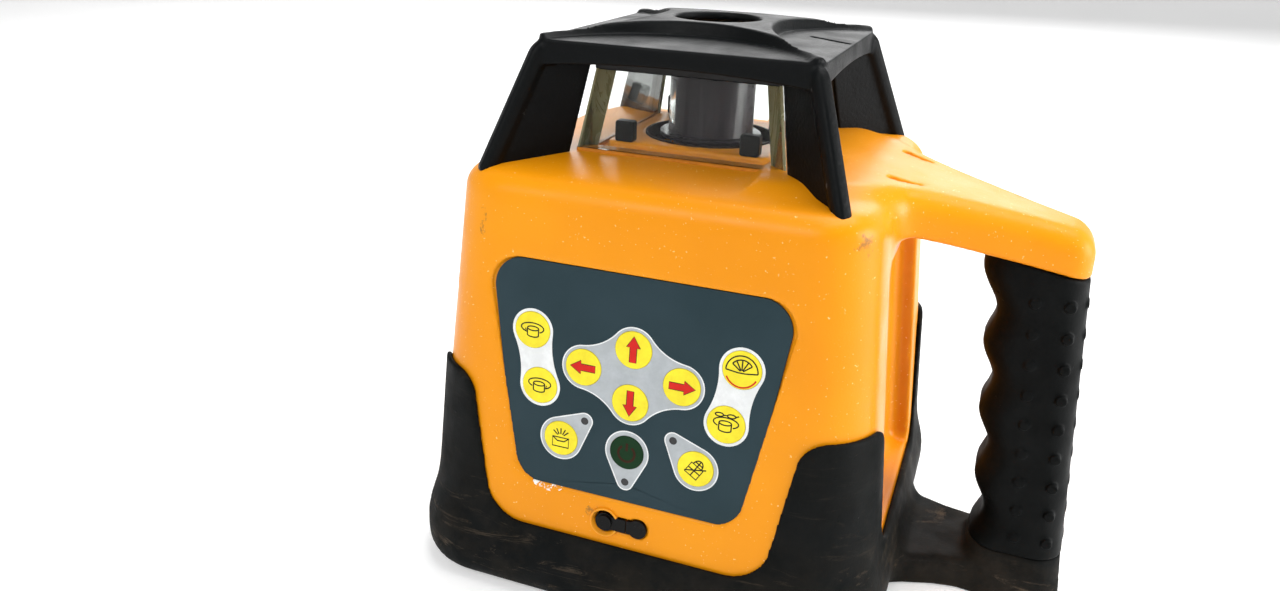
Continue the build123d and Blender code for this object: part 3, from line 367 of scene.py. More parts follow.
def boot_foot(x, y, z):
    """The boot's lower arm under the handle, with a seam line round its edge."""
    foot = (np.abs(y) - lower_arm_half_y(x)) * 0.93
    foot = meet(foot, z - LOWER_ARM_Z, 2.0)
    foot = meet(foot, meet(x - grip_outer_x(z), 58 - x), 9.0)
    stub = meet(grip_section(x, y, z), z - GRIP_FOOT_Z, 0.6)
    foot = join(foot, stub, 4.0)
    seam = slab(z, SEAM_Z, SEAM_Z + 0.7) + 0 * x
    foot = cut(foot, meet(seam, -(foot + 0.5)), 0.2)
    return meet(foot, x - grip_outer_x(z))


def boot_mesh():
    voxel, low, high = 0.8, (-85.6, -84.0, -1.6), (142.4, 84.0, 80.0)
    x, y, z = axes(low, high, voxel)
    radius = np.interp(z, (0, 3, 8, 13, 18, 24, 29, 36, 78), (23, 25.5, 27, 27.5, 27, 26, 25, 24.4, 23.9))
    skirt = rounded_rect(x - SHIFT_X, y, boot_half(z) + WIDER_X, boot_half(z), radius)
    skirt = meet(skirt, z - BOOT_TOP_Z, 1.2)
    boot = join(skirt, boot_foot(x, y, z), 5.0)
    hollow = cut(body_wall(x, y, z), finger_recess(x, y, z), 1.5)
    boot = cut(boot, meet(hollow, BASE_Z - 0.3 - z))
    for u, v, way in ((x, y, -1), (x, y, 1), (y, x, -1)):
        gap = petal_gap(u, z, 49.5, 56.5, 14.0)
        boot = cut(boot, meet(gap, 45 - way * v), 1.0)
    boot = cut(boot, meet(petal_gap(y, z, 43.0, 50.0, 12.0), 45 - x), 1.0)
    boot = meet(boot, -z, 1.0)
    boot = cut(boot, meet(rounded_rect(x, y, 71.0, 71.0, 20.0), z - BASE_Z))
    return surface("boot_skin", boot, low, voxel)


def stud_rows():
    """Heights of the grip's round studs."""
    return [FIRST_STUD_Z - STUD_PITCH * i for i in range(9)]


def grip_mesh():
    voxel, low, high = 0.5, (94.0, -18.0, 16.0), (142.0, 18.0, 128.0)
    x, y, z = axes(low, high, voxel)
    grip = grip_section(x, y, z) + 0 * x
    under_arm = arm_low_z(x) - 0.4 - z + 0 * y
    grip = meet(grip, -under_arm, 0.8)
    grip = meet(grip, GRIP_FOOT_Z + 0.15 - z, 0.8)
    for row in stud_rows():
        for back in (5.5, 16.0):
            sx = grip_outer_x(row) - back
            disc = np.hypot(x - sx, z - row) - STUD_R
            proud = meet(disc, np.abs(y) - grip_half_y(z) - 0.7, 0.3)
            grip = join(grip, meet(proud, grip_half_y(z) - 3.0 - np.abs(y)), 0.3)
        disc = np.hypot(np.abs(y) - 5.0, z - row) - STUD_R
        proud = meet(disc, x - grip_outer_x(z) - 0.15, 0.4)
        grip = join(grip, meet(proud, grip_outer_x(z) - 4.0 - x), 0.35)
    return surface("grip_skin", grip, low, voxel)


def cap_top(x, y):
    """Height of the cap: a gently domed four-armed star with a sunk scoop between arms."""
    m, n = np.maximum(np.abs(x), np.abs(y)), np.minimum(np.abs(x), np.abs(y))
    dome = CAP_DOME_Z - (m * m + n * n) / (2 * CAP_DOME_R)
    inside = SCOOP_R - np.hypot(n, SCOOP_MIDDLE - m)
    bead = 0.3 * np.exp(-((inside + 0.9) / 0.8) ** 2)
    floor = 185.6 - 1.6 * (m - 20.0) / 26.0
    wall = smooth_step(inside / 2.0)
    return (dome + bead) * (1 - wall) + floor * wall


def cage_cap(x, y, z):
    """The cap over the glass, hollow underneath, with the seat that the glass meets."""
    m, n = np.maximum(np.abs(x), np.abs(y)), np.minimum(np.abs(x), np.abs(y))
    half = CAP_HALF + 0.04 * (CAP_CORNER_Z - z)
    rim_low = 176.2 + 2.0 * (1 - (n / 41.0) ** 2)
    cap = meet(meet(rounded_rect(x, y, half, half, 5.0), z - cap_top(x, y), 0.6), rim_low - z, 0.5)
    hollow = meet(rounded_rect(x, y, 42.8, 42.8, 3.0), z - (cap_top(x, y) - 3.0), 1.5)
    cap = cut(cap, hollow, 0.6)
    seat = meet(meet(m - 32.0, 25.0 - m), slab(z, 175.9, 182.0))
    return join(cap, seat, 0.5)


def cage_fins(x, y, z):
    """Four corner blades with a rounded bar along each outer edge."""
    s, t = (np.abs(x) + np.abs(y)) / math.sqrt(2), (np.abs(x) - np.abs(y)) / math.sqrt(2)
    outer_s = np.minimum((59.0 - (z - 144.0) * 14.0 / 41.0) * math.sqrt(2), 83.4)
    inner_s = (37.6 - (z - TOP_Z) * 4.7 / 26.7) * math.sqrt(2)
    web = meet(np.abs(t) - 1.5, meet(inner_s - s, s - outer_s), 0.6)
    bar = rounded_rect(s - (outer_s - 2.7), t, 2.7, 2.6, 2.0)
    fins = join(web, bar, 1.6)
    return meet(meet(fins, z - FIN_TOP_Z, 4.0), 139.0 - z)


def cage_mesh():
    voxel, low, high = 0.45, (-62.5, -62.5, 136.0), (62.5, 62.5, 191.5)
    x, y, z = axes(low, high, voxel)
    cage = join(cage_cap(x, y, z), cage_fins(x, y, z), 1.2)
    cage = cut(cage, np.hypot(x, y) + 0 * z - CAP_HOLE_R, 1.2)
    along = np.clip((x - 32.0) / 12.0, 0, 1)
    slot = np.hypot(x - 32.0 - 12.0 * along, y - 5.0 + 4.0 * along) - 1.15
    cage = cut(cage, meet(slot, cap_top(x, y) - 1.6 - z), 0.3)
    return surface("cage_skin", cage, low, voxel)


# ---- materials -------------------------------------------------------------------------------------
class Shader:
    """Short way to write a material's nodes."""

    def __init__(self, name, **values):
        self.material = bpy.data.materials.new(name)
        self.material.use_nodes = True
        self.tree = self.material.node_tree
        self.shader = self.tree.nodes["Principled BSDF"]
        self.height = None
        for key, value in values.items():
            self.shader.inputs[key.replace("_", " ")].default_value = value
        coordinates = self.tree.nodes.new("ShaderNodeTexCoord")
        self.place = coordinates.outputs["Object"]

    def link(self, a, b):
        self.tree.links.new(a, b)

    def noise(self, scale, detail=4.0, rough=0.55, stretch=(1, 1, 1), distort=0.0):
        mapping = self.tree.nodes.new("ShaderNodeMapping")
        mapping.inputs["Scale"].default_value = stretch
        self.link(self.place, mapping.inputs["Vector"])
        node = self.tree.nodes.new("ShaderNodeTexNoise")
        node.inputs["Scale"].default_value = scale
        node.inputs["Detail"].default_value = detail
        node.inputs["Roughness"].default_value = rough
        node.inputs["Distortion"].default_value = distort
        self.link(mapping.outputs["Vector"], node.inputs["Vector"])
        return node.outputs["Fac"]

    def cells(self, scale, stretch=(1, 1, 1)):
        mapping = self.tree.nodes.new("ShaderNodeMapping")
        mapping.inputs["Scale"].default_value = stretch
        self.link(self.place, mapping.inputs["Vector"])
        node = self.tree.nodes.new("ShaderNodeTexVoronoi")
        node.inputs["Scale"].default_value = scale
        self.link(mapping.outputs["Vector"], node.inputs["Vector"])
        return node.outputs["Distance"]

    def ramp(self, value, stops):
        node = self.tree.nodes.new("ShaderNodeValToRGB")
        elements = node.color_ramp.elements
        while len(elements) < len(stops):
            elements.new(0.5)
        for element, (position, colour) in zip(elements, stops):
            element.position = position
            shade = colour if isinstance(colour, tuple) else (colour, colour, colour)
            element.color = (*shade, 1.0)
        self.link(value, node.inputs["Fac"])
        return node.outputs["Color"]

    def math(self, operation, a, b):
        node = self.tree.nodes.new("ShaderNodeMath")
        node.operation = operation
        for socket, value in zip(node.inputs, (a, b)):
            if isinstance(value, (int, float)):
                socket.default_value = value
            else:
                self.link(value, socket)
        return node.outputs["Value"]

    def mix(self, share, a, b):
        """Colour between a and b; each is a colour or a socket."""
        node = self.tree.nodes.new("ShaderNodeMix")
        node.data_type = "RGBA"
        self.link(share, node.inputs[0])
        for socket, value in ((node.inputs[6], a), (node.inputs[7], b)):
            if isinstance(value, tuple):
                socket.default_value = (*value, 1.0)
            else:
                self.link(value, socket)
        return node.outputs[2]

    def part_of(self, axis):
        node = self.tree.nodes.new("ShaderNodeSeparateXYZ")
        self.link(self.place, node.inputs["Vector"])
        return node.outputs[axis]

    def near(self, x, z, reach_x, reach_z):
        """1 in the middle of an oval place on the keypad wall, 0 outside it; millimetres."""
        spans = []
        for axis, centre, reach in (("X", x, reach_x), ("Z", z, reach_z)):
            offset = self.math("SUBTRACT", self.part_of(axis), centre * MM)
            share = self.math("DIVIDE", offset, reach * MM)
            spans.append(self.math("MULTIPLY", share, share))
        front = self.math("LESS_THAN", self.part_of("Y"), -0.055)
        return self.math("MULTIPLY", front, self.math("LESS_THAN", self.math("ADD", *spans), 1.0))

    def edges(self, low=0.5, high=0.6):
        """1 on sharp outer edges, from the mesh's pointiness."""
        node = self.tree.nodes.new("ShaderNodeNewGeometry")
        return self.ramp(node.outputs["Pointiness"], ((low, 0.0), (high, 1.0)))

    def colour(self, socket):
        self.link(socket, self.shader.inputs["Base Color"])

    def rough(self, socket):
        self.link(socket, self.shader.inputs["Roughness"])

    def bump(self, value, distance, strength=1.0):
        """Adds a layer of bump; distance in millimetres."""
        node = self.tree.nodes.new("ShaderNodeBump")
        node.inputs["Strength"].default_value = strength
        node.inputs["Distance"].default_value = distance * MM
        self.link(value, node.inputs["Height"])
        if self.height:
            self.link(self.height, node.inputs["Normal"])
        self.height = node.outputs["Normal"]
        self.link(self.height, self.shader.inputs["Normal"])


# small dirty places on the front: x, z and the reach along each
SMUDGES = ((-54.0, 128.7, 1.6, 5.0), (65.0, 136.0, 2.5, 4.0), (-58.0, 44.0, 6.0, 5.0),
           (-10.0, 36.5, 3.0, 2.5))


def housing_orange(name, worn_edges=True):
    """Worn edges need a fine mesh, since they come from each vertex's pointiness."""
    m = Shader(name, Roughness=0.36, Specular_IOR_Level=0.18)
    broad = m.noise(14, 3)
    tone = m.ramp(broad, ((0.3, (0.72, 0.245, 0.002)), (0.7, (0.78, 0.285, 0.003))))
    specks = m.ramp(m.noise(900, 2, 0.7), ((0.69, 0.0), (0.74, 1.0)))
    tone = m.mix(specks, tone, (0.95, 0.62, 0.25))
    marks = m.ramp(m.noise(70, 6, 0.75, (1, 1, 0.35), 1.2), ((0.70, 0.0), (0.76, 0.55)))
    tone = m.mix(marks, tone, (0.32, 0.12, 0.02))
    if worn_edges:
        rubbed = m.math("MULTIPLY", m.edges(0.53, 0.62), m.noise(120, 4))
        tone = m.mix(rubbed, tone, (0.95, 0.52, 0.10))
    flakes = m.ramp(m.noise(420, 5, 0.7), ((0.50, 0.0), (0.54, 1.0)))
    chips = m.math("MULTIPLY", m.near(-27.2, 42.6, 5.6, 2.4), flakes)
    tone = m.mix(chips, tone, (0.85, 0.84, 0.80))
    smears = m.ramp(m.noise(300, 6, 0.8), ((0.50, 0.0), (0.62, 0.9)))
    for place in SMUDGES:
        tone = m.mix(m.math("MULTIPLY", m.near(*place), smears), tone, (0.30, 0.13, 0.02))
    m.colour(tone)
    m.rough(m.ramp(m.noise(45, 5), ((0.35, 0.28), (0.7, 0.44))))
    m.bump(m.noise(1500, 3, 0.6), 0.05)
    m.bump(m.noise(260, 2), 0.03)
    return m.material


def boot_black():
    """Black rubber, dusty and scuffed towards the floor."""
    m = Shader("boot_black", Roughness=0.7, Specular_IOR_Level=0.08)
    dust = m.ramp(m.noise(28, 6, 0.7), ((0.42, 0.0), (0.72, 0.8)))
    low = m.ramp(m.part_of("Z"), ((0.0, 1.0), (0.045, 0.12)))
    grime = m.math("MULTIPLY", dust, low)
    tone = m.mix(grime, (0.002, 0.003, 0.003), (0.030, 0.023, 0.016))
    scuffs = m.ramp(m.noise(55, 8, 0.8, (0.4, 0.4, 2.2), 2.0), ((0.56, 0.0), (0.66, 0.8)))
    scuffs = m.math("MULTIPLY", scuffs, low)
    tone = m.mix(scuffs, tone, (0.095, 0.070, 0.046))
    m.colour(tone)
    m.rough(m.ramp(m.noise(60, 5), ((0.3, 0.50), (0.7, 0.80))))
    m.bump(m.noise(1300, 3, 0.65), 0.06)
    m.bump(m.noise(90, 6, 0.7), 0.12, 0.7)
    return m.material


def grip_black():
    """Clean black rubber, a little shiny where it is held."""
    m = Shader("grip_black", Roughness=0.4, Specular_IOR_Level=0.07)
    wear_and_sheen = m.ramp(m.noise(60, 5, 0.7), ((0.4, 0.0), (0.75, 0.6)))
    m.colour(m.mix(wear_and_sheen, (0.0015, 0.002, 0.002), (0.006, 0.007, 0.007)))
    m.rough(m.ramp(m.noise(80, 4), ((0.3, 0.42), (0.7, 0.68))))
    m.bump(m.noise(1100, 3, 0.6), 0.05)
    return m.material


def cage_black():
    """Textured black plastic, scratched, with a painted pale speckled highlight along its sharp edges."""
    m = Shader("cage_black", Roughness=0.36, Specular_IOR_Level=0.10)
    scratches = m.ramp(m.noise(90, 8, 0.85, (3.0, 0.3, 1.0), 1.5), ((0.68, 0.0), (0.71, 0.6)))
    tone = m.mix(scratches, (0.0015, 0.0022, 0.0025), (0.045, 0.05, 0.05))
    speckle = m.ramp(m.noise(600, 4, 0.7), ((0.45, 0.0), (0.60, 1.0)))
    # painted highlight: pale speckles on the sharp edges of the blades and cap stand in for their glint
    wear_and_sheen = m.math("MULTIPLY", m.edges(0.53, 0.60), speckle)
    tone = m.mix(wear_and_sheen, tone, (0.11, 0.115, 0.12))
    m.colour(tone)
    m.rough(m.ramp(m.noise(70, 4), ((0.3, 0.36), (0.7, 0.55))))
    m.bump(m.noise(1000, 4, 0.7), 0.10)
    m.bump(m.cells(700), 0.04, 0.6)
    return m.material


def moulded(name, colour, rough=0.5, dirt=0.35, grain=900):
    """Plain moulded plastic or rubber with grain, a little dirt and uneven gloss."""
    m = Shader(name, Roughness=rough, Specular_IOR_Level=0.12)
    dark = tuple(c * (1 - dirt) for c in colour)
    m.colour(m.mix(m.ramp(m.noise(90, 5, 0.7), ((0.35, 0.0), (0.7, 1.0))), dark, colour))
    m.rough(m.ramp(m.noise(140, 4), ((0.3, rough - 0.08), (0.7, rough + 0.10))))
    m.bump(m.noise(grain, 3, 0.6), 0.03)
    return m.material


def metal(name, colour, rough=0.3, stretch=(1, 1, 12), grain=420, tarnish=0.25):
    """Turned, drawn or cast metal, with its grain stretched along one axis."""
    m = Shader(name, Roughness=rough, Metallic=1.0)
    dark = tuple(c * (1 - tarnish) for c in colour)
    m.colour(m.mix(m.ramp(m.noise(70, 5), ((0.35, 0.0), (0.7, 1.0))), dark, colour))
    streaks = m.noise(grain, 3, 0.6, stretch)
    m.rough(m.ramp(streaks, ((0.3, rough - 0.08), (0.7, rough + 0.12))))
    m.bump(streaks, 0.015)
    return m.material


def window_clear(name, bending):
    """Clear glass or optics with faint smears; bending is the refractive index."""
    m = Shader(name, Roughness=0.02, IOR=bending, Transmission_Weight=1.0)
    m.shader.inputs["Base Color"].default_value = (0.97, 0.99, 0.975, 1)
    smears = m.noise(60, 6, 0.7, (1, 1, 0.3), 0.8)
    m.rough(m.ramp(smears, ((0.45, 0.0), (0.85, 0.07))))
    return m.material


def seal_green():
    """Streaked sealant in the glass corners, amber towards the top."""
    m = Shader("seal_green", Roughness=0.3, Transmission_Weight=0.25)
    streaks = m.noise(120, 6, 0.7, (1, 1, 0.25), 1.0)
    shade = m.ramp(m.part_of("Z"), ((0.140, 0.0), (0.172, 1.0)))
    low = m.mix(m.ramp(streaks, ((0.35, 0.0), (0.65, 1.0))), (0.10, 0.13, 0.075), (0.32, 0.36, 0.24))
    m.colour(m.mix(shade, low, (0.30, 0.27, 0.12)))
    m.rough(m.ramp(streaks, ((0.3, 0.2), (0.7, 0.4))))
    m.bump(streaks, 0.05)
    return m.material


def overlay_blue():
    """Slate blue film with fine scratches."""
    m = Shader("overlay_blue", Roughness=0.5, Specular_IOR_Level=0.12)
    broad = m.ramp(m.noise(30, 4), ((0.35, (0.016, 0.034, 0.042)), (0.7, (0.022, 0.042, 0.052))))
    scratches = m.ramp(m.noise(60, 8, 0.85, (2.5, 1, 0.4), 1.6), ((0.69, 0.0), (0.73, 0.5)))
    m.colour(m.mix(scratches, broad, (0.12, 0.16, 0.18)))
    m.rough(m.ramp(m.noise(120, 4), ((0.3, 0.36), (0.7, 0.54))))
    m.bump(m.cells(1600), 0.012)
    return m.material


def printed_ink(name, colour, rough=0.5):
    """Slightly faded and uneven printed colour."""
    m = Shader(name, Roughness=rough, Specular_IOR_Level=0.12)
    faded = tuple(c * 0.86 for c in colour)
    m.colour(m.mix(m.ramp(m.noise(160, 5, 0.7), ((0.4, 0.0), (0.65, 1.0))), faded, colour))
    m.rough(m.ramp(m.noise(220, 3), ((0.3, rough - 0.06), (0.7, rough + 0.08))))
    m.bump(m.cells(1500), 0.008)
    return m.material


def gasket_silicone():
    """Clear silicone that shows the plastic under it at the foot, black foam at the head."""
    m = Shader("gasket_silicone", Roughness=0.4, Specular_IOR_Level=0.3)
    head = m.ramp(m.part_of("Z"), ((0.155, 0.0), (0.165, 1.0)))
    cloud = m.ramp(m.noise(200, 5, 0.7), ((0.35, (0.50, 0.18, 0.015)), (0.7, (0.66, 0.25, 0.02))))
    m.colour(m.mix(head, cloud, (0.006, 0.006, 0.006)))
    m.rough(m.ramp(m.noise(150, 4), ((0.3, 0.35), (0.7, 0.55))))
    m.bump(m.noise(500, 3), 0.03)
    return m.material


def rotor_drum():
    """Dark plum drum, brushed along its axis."""
    m = Shader("rotor_drum", Roughness=0.3, Specular_IOR_Level=0.3)
    brushed = m.noise(300, 4, 0.6, (1, 1, 14))
    m.colour(m.mix(brushed, (0.010, 0.006, 0.009), (0.030, 0.020, 0.026)))
    m.rough(m.ramp(brushed, ((0.3, 0.24), (0.7, 0.36))))
    m.bump(brushed, 0.01)
    return m.material


# ---- keypad prints ---------------------------------------------------------------------------------
WALL_ORIGIN = Vector((0, -half_width(0), 0))
WALL_UP = Vector((0, math.sin(LEAN), math.cos(LEAN)))
WALL_OUT = Vector((0, -math.cos(LEAN), math.sin(LEAN)))


def wall_matrix(depth):
    """Places flat drawings, in millimetres across and up, on the keypad wall."""
    place = WALL_ORIGIN + WALL_OUT * depth
    columns = (Vector((1, 0, 0)), WALL_UP, WALL_OUT, place)
    matrix = Matrix.Identity(4)
    for i, column in enumerate(columns):
        for j in range(3):
            matrix[j][i] = column[j] * MM
    return matrix


def circle(x, y, r, count=56):
    return arc(x, y, r, 0, 2 * math.pi, count + 1)[:-1]


def arc(x, y, r, start, end, count=14):
    return [(x + r * math.cos(a), y + r * math.sin(a)) for a in np.linspace(start, end, count)]


def lobed(centres, r, waist):
    """Outline of equal lobes joined by hollow arcs that come within waist of their centre lines."""
    hollows = []
    for (ax, ay), (bx, by) in zip(centres, centres[1:] + centres[:1]):
        d = math.hypot(bx - ax, by - ay)
        rho = ((d / 2) ** 2 + waist ** 2 - r ** 2) / (2 * (r - waist))
        nx, ny = (by - ay) / d, -(bx - ax) / d
        hollows.append(((ax + bx) / 2 + nx * (waist + rho), (ay + by) / 2 + ny * (waist + rho), rho))
    points = []
    for i, (x, y) in enumerate(centres):
        before, after = hollows[i - 1], hollows[i]
        start = math.atan2(before[1] - y, before[0] - x)
        end = math.atan2(after[1] - y, after[0] - x)
        end += 2 * math.pi if end < start else 0
        points += arc(x, y, r, start, end, 22)
        nx, ny = centres[(i + 1) % len(centres)]
        start = math.atan2(y - after[1], x - after[0])
        end = math.atan2(ny - after[1], nx - after[0])
        end -= 2 * math.pi if end > start else 0
        points += arc(after[0], after[1], after[2], start, end, 12)[1:-1]
    return points


def teardrop(x0, y0, r0, x1, y1, r1):
    """Outline around two circles of different size."""
    toward = math.atan2(y1 - y0, x1 - x0)
    spread = math.acos((r0 - r1) / math.hypot(x1 - x0, y1 - y0))
    big = arc(x0, y0, r0, toward + spread, toward - spread + 2 * math.pi, 40)
    return big + arc(x1, y1, r1, toward - spread, toward + spread, 14)


def stroke(points, width, closed=False):
    """Outlines of a line of even width along points."""
    pts = [Vector(p) for p in points[:-1 if closed else None]]
    left, right = [], []
    for i, p in enumerate(pts):
        a = pts[i - 1] if i or closed else p
        b = pts[(i + 1) % len(pts)] if i < len(pts) - 1 or closed else p
        run = (b - a).normalized()
        side = Vector((-run.y, run.x)) * width / 2
        left.append(tuple(p + side))
        right.append(tuple(p - side))
    return [left, right] if closed else [left + right[::-1]]


def moved(outlines, x, y, turn=0.0, size=1.0):
    c, s = math.cos(turn) * size, math.sin(turn) * size
    return [[(x + c * u - s * v, y + s * u + c * v) for u, v in line] for line in outlines]


def printed(name, outlines, depth, material, body, thick=0.03):
    """Thin printed shape on the keypad wall, its face depth mm out from the wall."""
    curve = bpy.data.curves.new(name, "CURVE")
    curve.dimensions = "2D"
    curve.fill_mode = "BOTH"
    curve.extrude = thick / 2
    for line in outlines:
        spline = curve.splines.new("POLY")
        spline.points.add(len(line) - 1)
        for point, (u, v) in zip(spline.points, line):
            point.co = (u, v, 0, 1)
        spline.use_cyclic_u = True
    holder = bpy.data.objects.new(name + "_curve", curve)
    mesh = bpy.data.meshes.new_from_object(holder)
    bpy.data.objects.remove(holder)
    mesh.transform(wall_matrix(depth))
    mesh.name = name
    mesh.materials.clear()
    mesh.materials.append(material)
    obj = bpy.data.objects.new(name, mesh)
    bpy.context.scene.collection.objects.link(obj)
    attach(obj, body)
    return obj


def printed_strokes(name, strokes, depth, material, key):
    """One printed piece from strokes that may cross each other."""
    parts = [printed(name, lines, depth, material, key) for lines in strokes]
    whole = bmesh.new()
    for part in parts:
        whole.from_mesh(part.data)
    whole.to_mesh(parts[0].data)
    whole.free()
    for part in parts[1:]:
        bpy.data.objects.remove(part)
    parts[0].name = name


def at_height(x, z):
    """Place on the keypad wall, across and up it, for a place in X and Z."""
    return x, wall_height(z)


def key_spot(key):
    return at_height(*KEYS[key][:2])


ARROW = [(0, 4.4), (2.2, 0.8), (1.05, 0.8), (1.05, -4.1), (-1.05, -4.1), (-1.05, 0.8), (-2.2, 0.8)]
LINE = 0.42    # width of the icons' lines


def ellipse(x, y, a, b, start=0.0, end=360.0, count=30):
    turns = np.radians(np.linspace(start, end, count))
    points = [(x + a * math.cos(t), y + b * math.sin(t)) for t in turns]
    return points[:-1] + points[:1] if end - start == 360 else points


def drum_lines(x, y, size):
    """Paths of a small drum seen from above."""
    top, low, half, flat = y + 1.0 * size, y - 1.1 * size, 1.9 * size, 0.7 * size
    sides = [[(x - half, top), (x - half, low)], [(x + half, top), (x + half, low)]]
    return [ellipse(x, top, half, flat), *sides, ellipse(x, low, half, flat, 180, 360)]


def spin_lines(side):
    """A drum with a loop round it that ends in a barb."""
    loop = ellipse(0, 0.7, 4.0, 1.7, -50, 235)
    barb = [(-3.4, -0.3), (-2.1, -0.9), (-2.5, 0.3)]
    return [[(side * u, v) for u, v in line] for line in drum_lines(0.2, -0.5, 1.05) + [loop, barb]]


def fan_lines():
    lines = [ellipse(0, -0.4, 5.0, 5.0, 0, 180), [(-5.0, -0.4), (-1.2, -0.9), (1.2, -0.9), (5.0, -0.4)],
             ellipse(0, -0.4, 3.7, 3.7, 35, 145)]
    for degrees in (35, 60, 90, 120, 145):
        c, d = math.cos(math.radians(degrees)), math.sin(math.radians(degrees))
        lines.append([(0.5 * c, -0.6 + 0.5 * d), (3.7 * c, -0.4 + 3.7 * d)])
    return lines


def step_lines():
    birds = [ellipse(x, 3.1, 1.3, 0.6) for x in (-2.3, 1.6)]
    return birds + [[(-1.0, 3.1), (0.3, 3.1)], [(2.9, 3.1), (3.9, 3.6)]] + spin_lines(-1)[:-1]


def beam_lines():
    lines = [[(-2.9, 0.3), (-2.9, -3.0), (2.9, -3.0), (2.9, 0.3), (-2.9, 0.3)],
             [(-2.9, 0.3), (-1.2, -1.0), (1.2, -1.0), (2.9, 0.3)]]
    for degrees in (42, 64, 90, 116, 138):
        c, d = math.cos(math.radians(degrees)), math.sin(math.radians(degrees))
        lines.append([(1.4 * c, 0.4 + 1.1 * d), (3.6 * c, 0.4 + 3.2 * d)])
    return lines


def tilt_lines():
    """A small instrument that leans over, with its level line across it."""
    turn = math.radians(-32)
    box = [(-2.3, -2.8), (2.3, -2.8), (2.3, 1.2), (-2.3, 1.2), (-2.3, -2.8)]
    body = [box, ellipse(0, 1.2, 1.6, 2.2, 0, 180),
            [(0, -2.8), (0, 3.4)], [(-1.6, 2.2), (1.6, 2.2)], [(-2.3, -0.7), (2.3, -0.7)]]
    leant = [moved([line], 0, 0, turn)[0] for line in body]
    return leant + [[(-3.6, -0.9), (3.6, 0.3)]]


def power_lines():
    return [ellipse(0, -0.3, 2.8, 2.8, 125, 415), [(0, 0.6), (0, 3.3)]]


def print_fields(white, grey):
    """The white and grey fields round the keys, on the overlay."""
    film = OVERLAY_DEPTH + 0.02
    rings = {key: circle(*key_spot(key), KEYS[key][2] + 0.1) for key in KEYS}
    sides = {"left": ("key_spin_fast", "key_spin_slow"), "right": ("key_scan_step", "key_scan_fan")}
    for side, keys in sides.items():
        outline = lobed([key_spot(key) for key in keys], 7.2, 5.9)
        holes = [rings[key] for key in sorted(keys)]
        printed(f"print_{side}_pair", [outline] + holes, film, white, "housing")
    arrows = [key_spot(f"key_arrow_{way}") for way in ("right", "up", "left", "down")]
    holes = [rings[key] for key in KEYS if "arrow" in key]
    rim, field = lobed(arrows, 7.5, 5.6), lobed(arrows, 7.1, 5.2)
    printed("print_arrows_rim", [rim, field], film, white, "housing")
    printed("print_arrows_field", [field] + holes, film, grey, "housing")
    for key, (lx, lz) in zip(("key_beam", "key_power", "key_tilt_alarm"), LEDS):
        lamp = at_height(lx, lz)
        rim, field = (teardrop(*key_spot(key), 7.5 - d, *lamp, 2.9 - d) for d in (0, 0.4))
        printed(f"print_{key}_rim", [rim, field], film, white, "housing")
        holes = [rings[key], circle(*lamp, 1.3)]
        printed(f"print_{key}_field", [field] + holes, film, grey, "housing")


def print_icons(red, black, faded):
    """The drawings on the keys' faces."""
    icons = {
        "key_spin_fast": spin_lines(1), "key_spin_slow": spin_lines(-1), "key_scan_fan": fan_lines(),
        "key_scan_step": step_lines(), "key_beam": beam_lines(), "key_power": power_lines(),
        "key_tilt_alarm": tilt_lines(),
    }
    face = KEY_DEPTH + 0.02
    for key, lines in icons.items():
        ink, width = (faded, 0.8) if key == "key_power" else (black, LINE)
        strokes = [moved(stroke(line, width, line[0] == line[-1]), *key_spot(key)) for line in lines]
        printed_strokes(f"icon_{key}", strokes, face, ink, key)
    smile = moved(stroke(ellipse(0, -0.4, 5.1, 5.1, 205, 335), 0.5), *key_spot("key_scan_fan"))
    printed("icon_smile", smile, face, red, "key_scan_fan")
    for i, way in enumerate(("up", "left", "down", "right")):
        key = f"key_arrow_{way}"
        place = (*key_spot(key), math.radians(90 * i))
        edge = moved(stroke(ARROW + ARROW[:1], 0.5, True), *place)
        printed_strokes(f"icon_{key}_edge", [edge], face, black, key)
        printed(f"icon_{key}", moved([ARROW], *place), face + 0.02, red, key)


# ---- charging socket -------------------------------------------------------------------------------
def turned(name, profile, start, end, steps):
    """Mesh swept round the socket's axis from an outline of (radius, height over the wall)."""
    bm = bmesh.new()
    rings = []
    for degrees in np.linspace(start, end, steps + 1):
        c, d = math.cos(math.radians(degrees)), math.sin(math.radians(degrees))
        u, v = at_height(JACK_X, JACK_Z)
        rings.append([bm.verts.new((u + r * c, v + r * d, w)) for r, w in profile])
    for a, b in zip(rings, rings[1:]):
        for i in range(len(profile)):
            bm.faces.new((a[i - 1], a[i], b[i], b[i - 1]))
    bm.faces.new(rings[0])
    bm.faces.new(rings[-1][::-1])
    bmesh.ops.remove_doubles(bm, verts=bm.verts, dist=1e-4)
    bmesh.ops.recalc_face_normals(bm, faces=bm.faces)
    mesh = bpy.data.meshes.new(name)
    bm.to_mesh(mesh)
    bm.free()
    mesh.transform(wall_matrix(0))
    mesh.polygons.foreach_set("use_smooth", [True] * len(mesh.polygons))
    obj = bpy.data.objects.new(name, mesh)
    bpy.context.scene.collection.objects.link(obj)
    return obj


def socket_trim(plastic, rubber):
    """Funnel round the charging socket, open where the strap passes, and the cover's ball."""
    funnel = [(5.2, -0.8), (5.15, 0.3), (5.0, 0.7), (4.75, 0.9), (4.5, 0.75),
              (3.75, -1.4), (3.75, -2.4), (5.0, -2.4)]
    bezel = dress(turned("socket_bezel", funnel, 30, 330, 60), plastic)
    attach(bezel, "housing")
    arc_up = np.radians(np.linspace(0, 90, 12))
    dome = [(3.35 * math.cos(a), -1.3 + 1.9 * math.sin(a)) for a in arc_up] + [(0.0, -1.6), (3.35, -1.6)]
    ball = dress(turned("cover_ball", dome, 0, 360, 48), rubber)
    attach(ball, "socket_cover")


# ---- putting it together ---------------------------------------------------------------------------
def dress(obj, material):
    obj.data.materials.clear()
    obj.data.materials.append(material)
    return obj


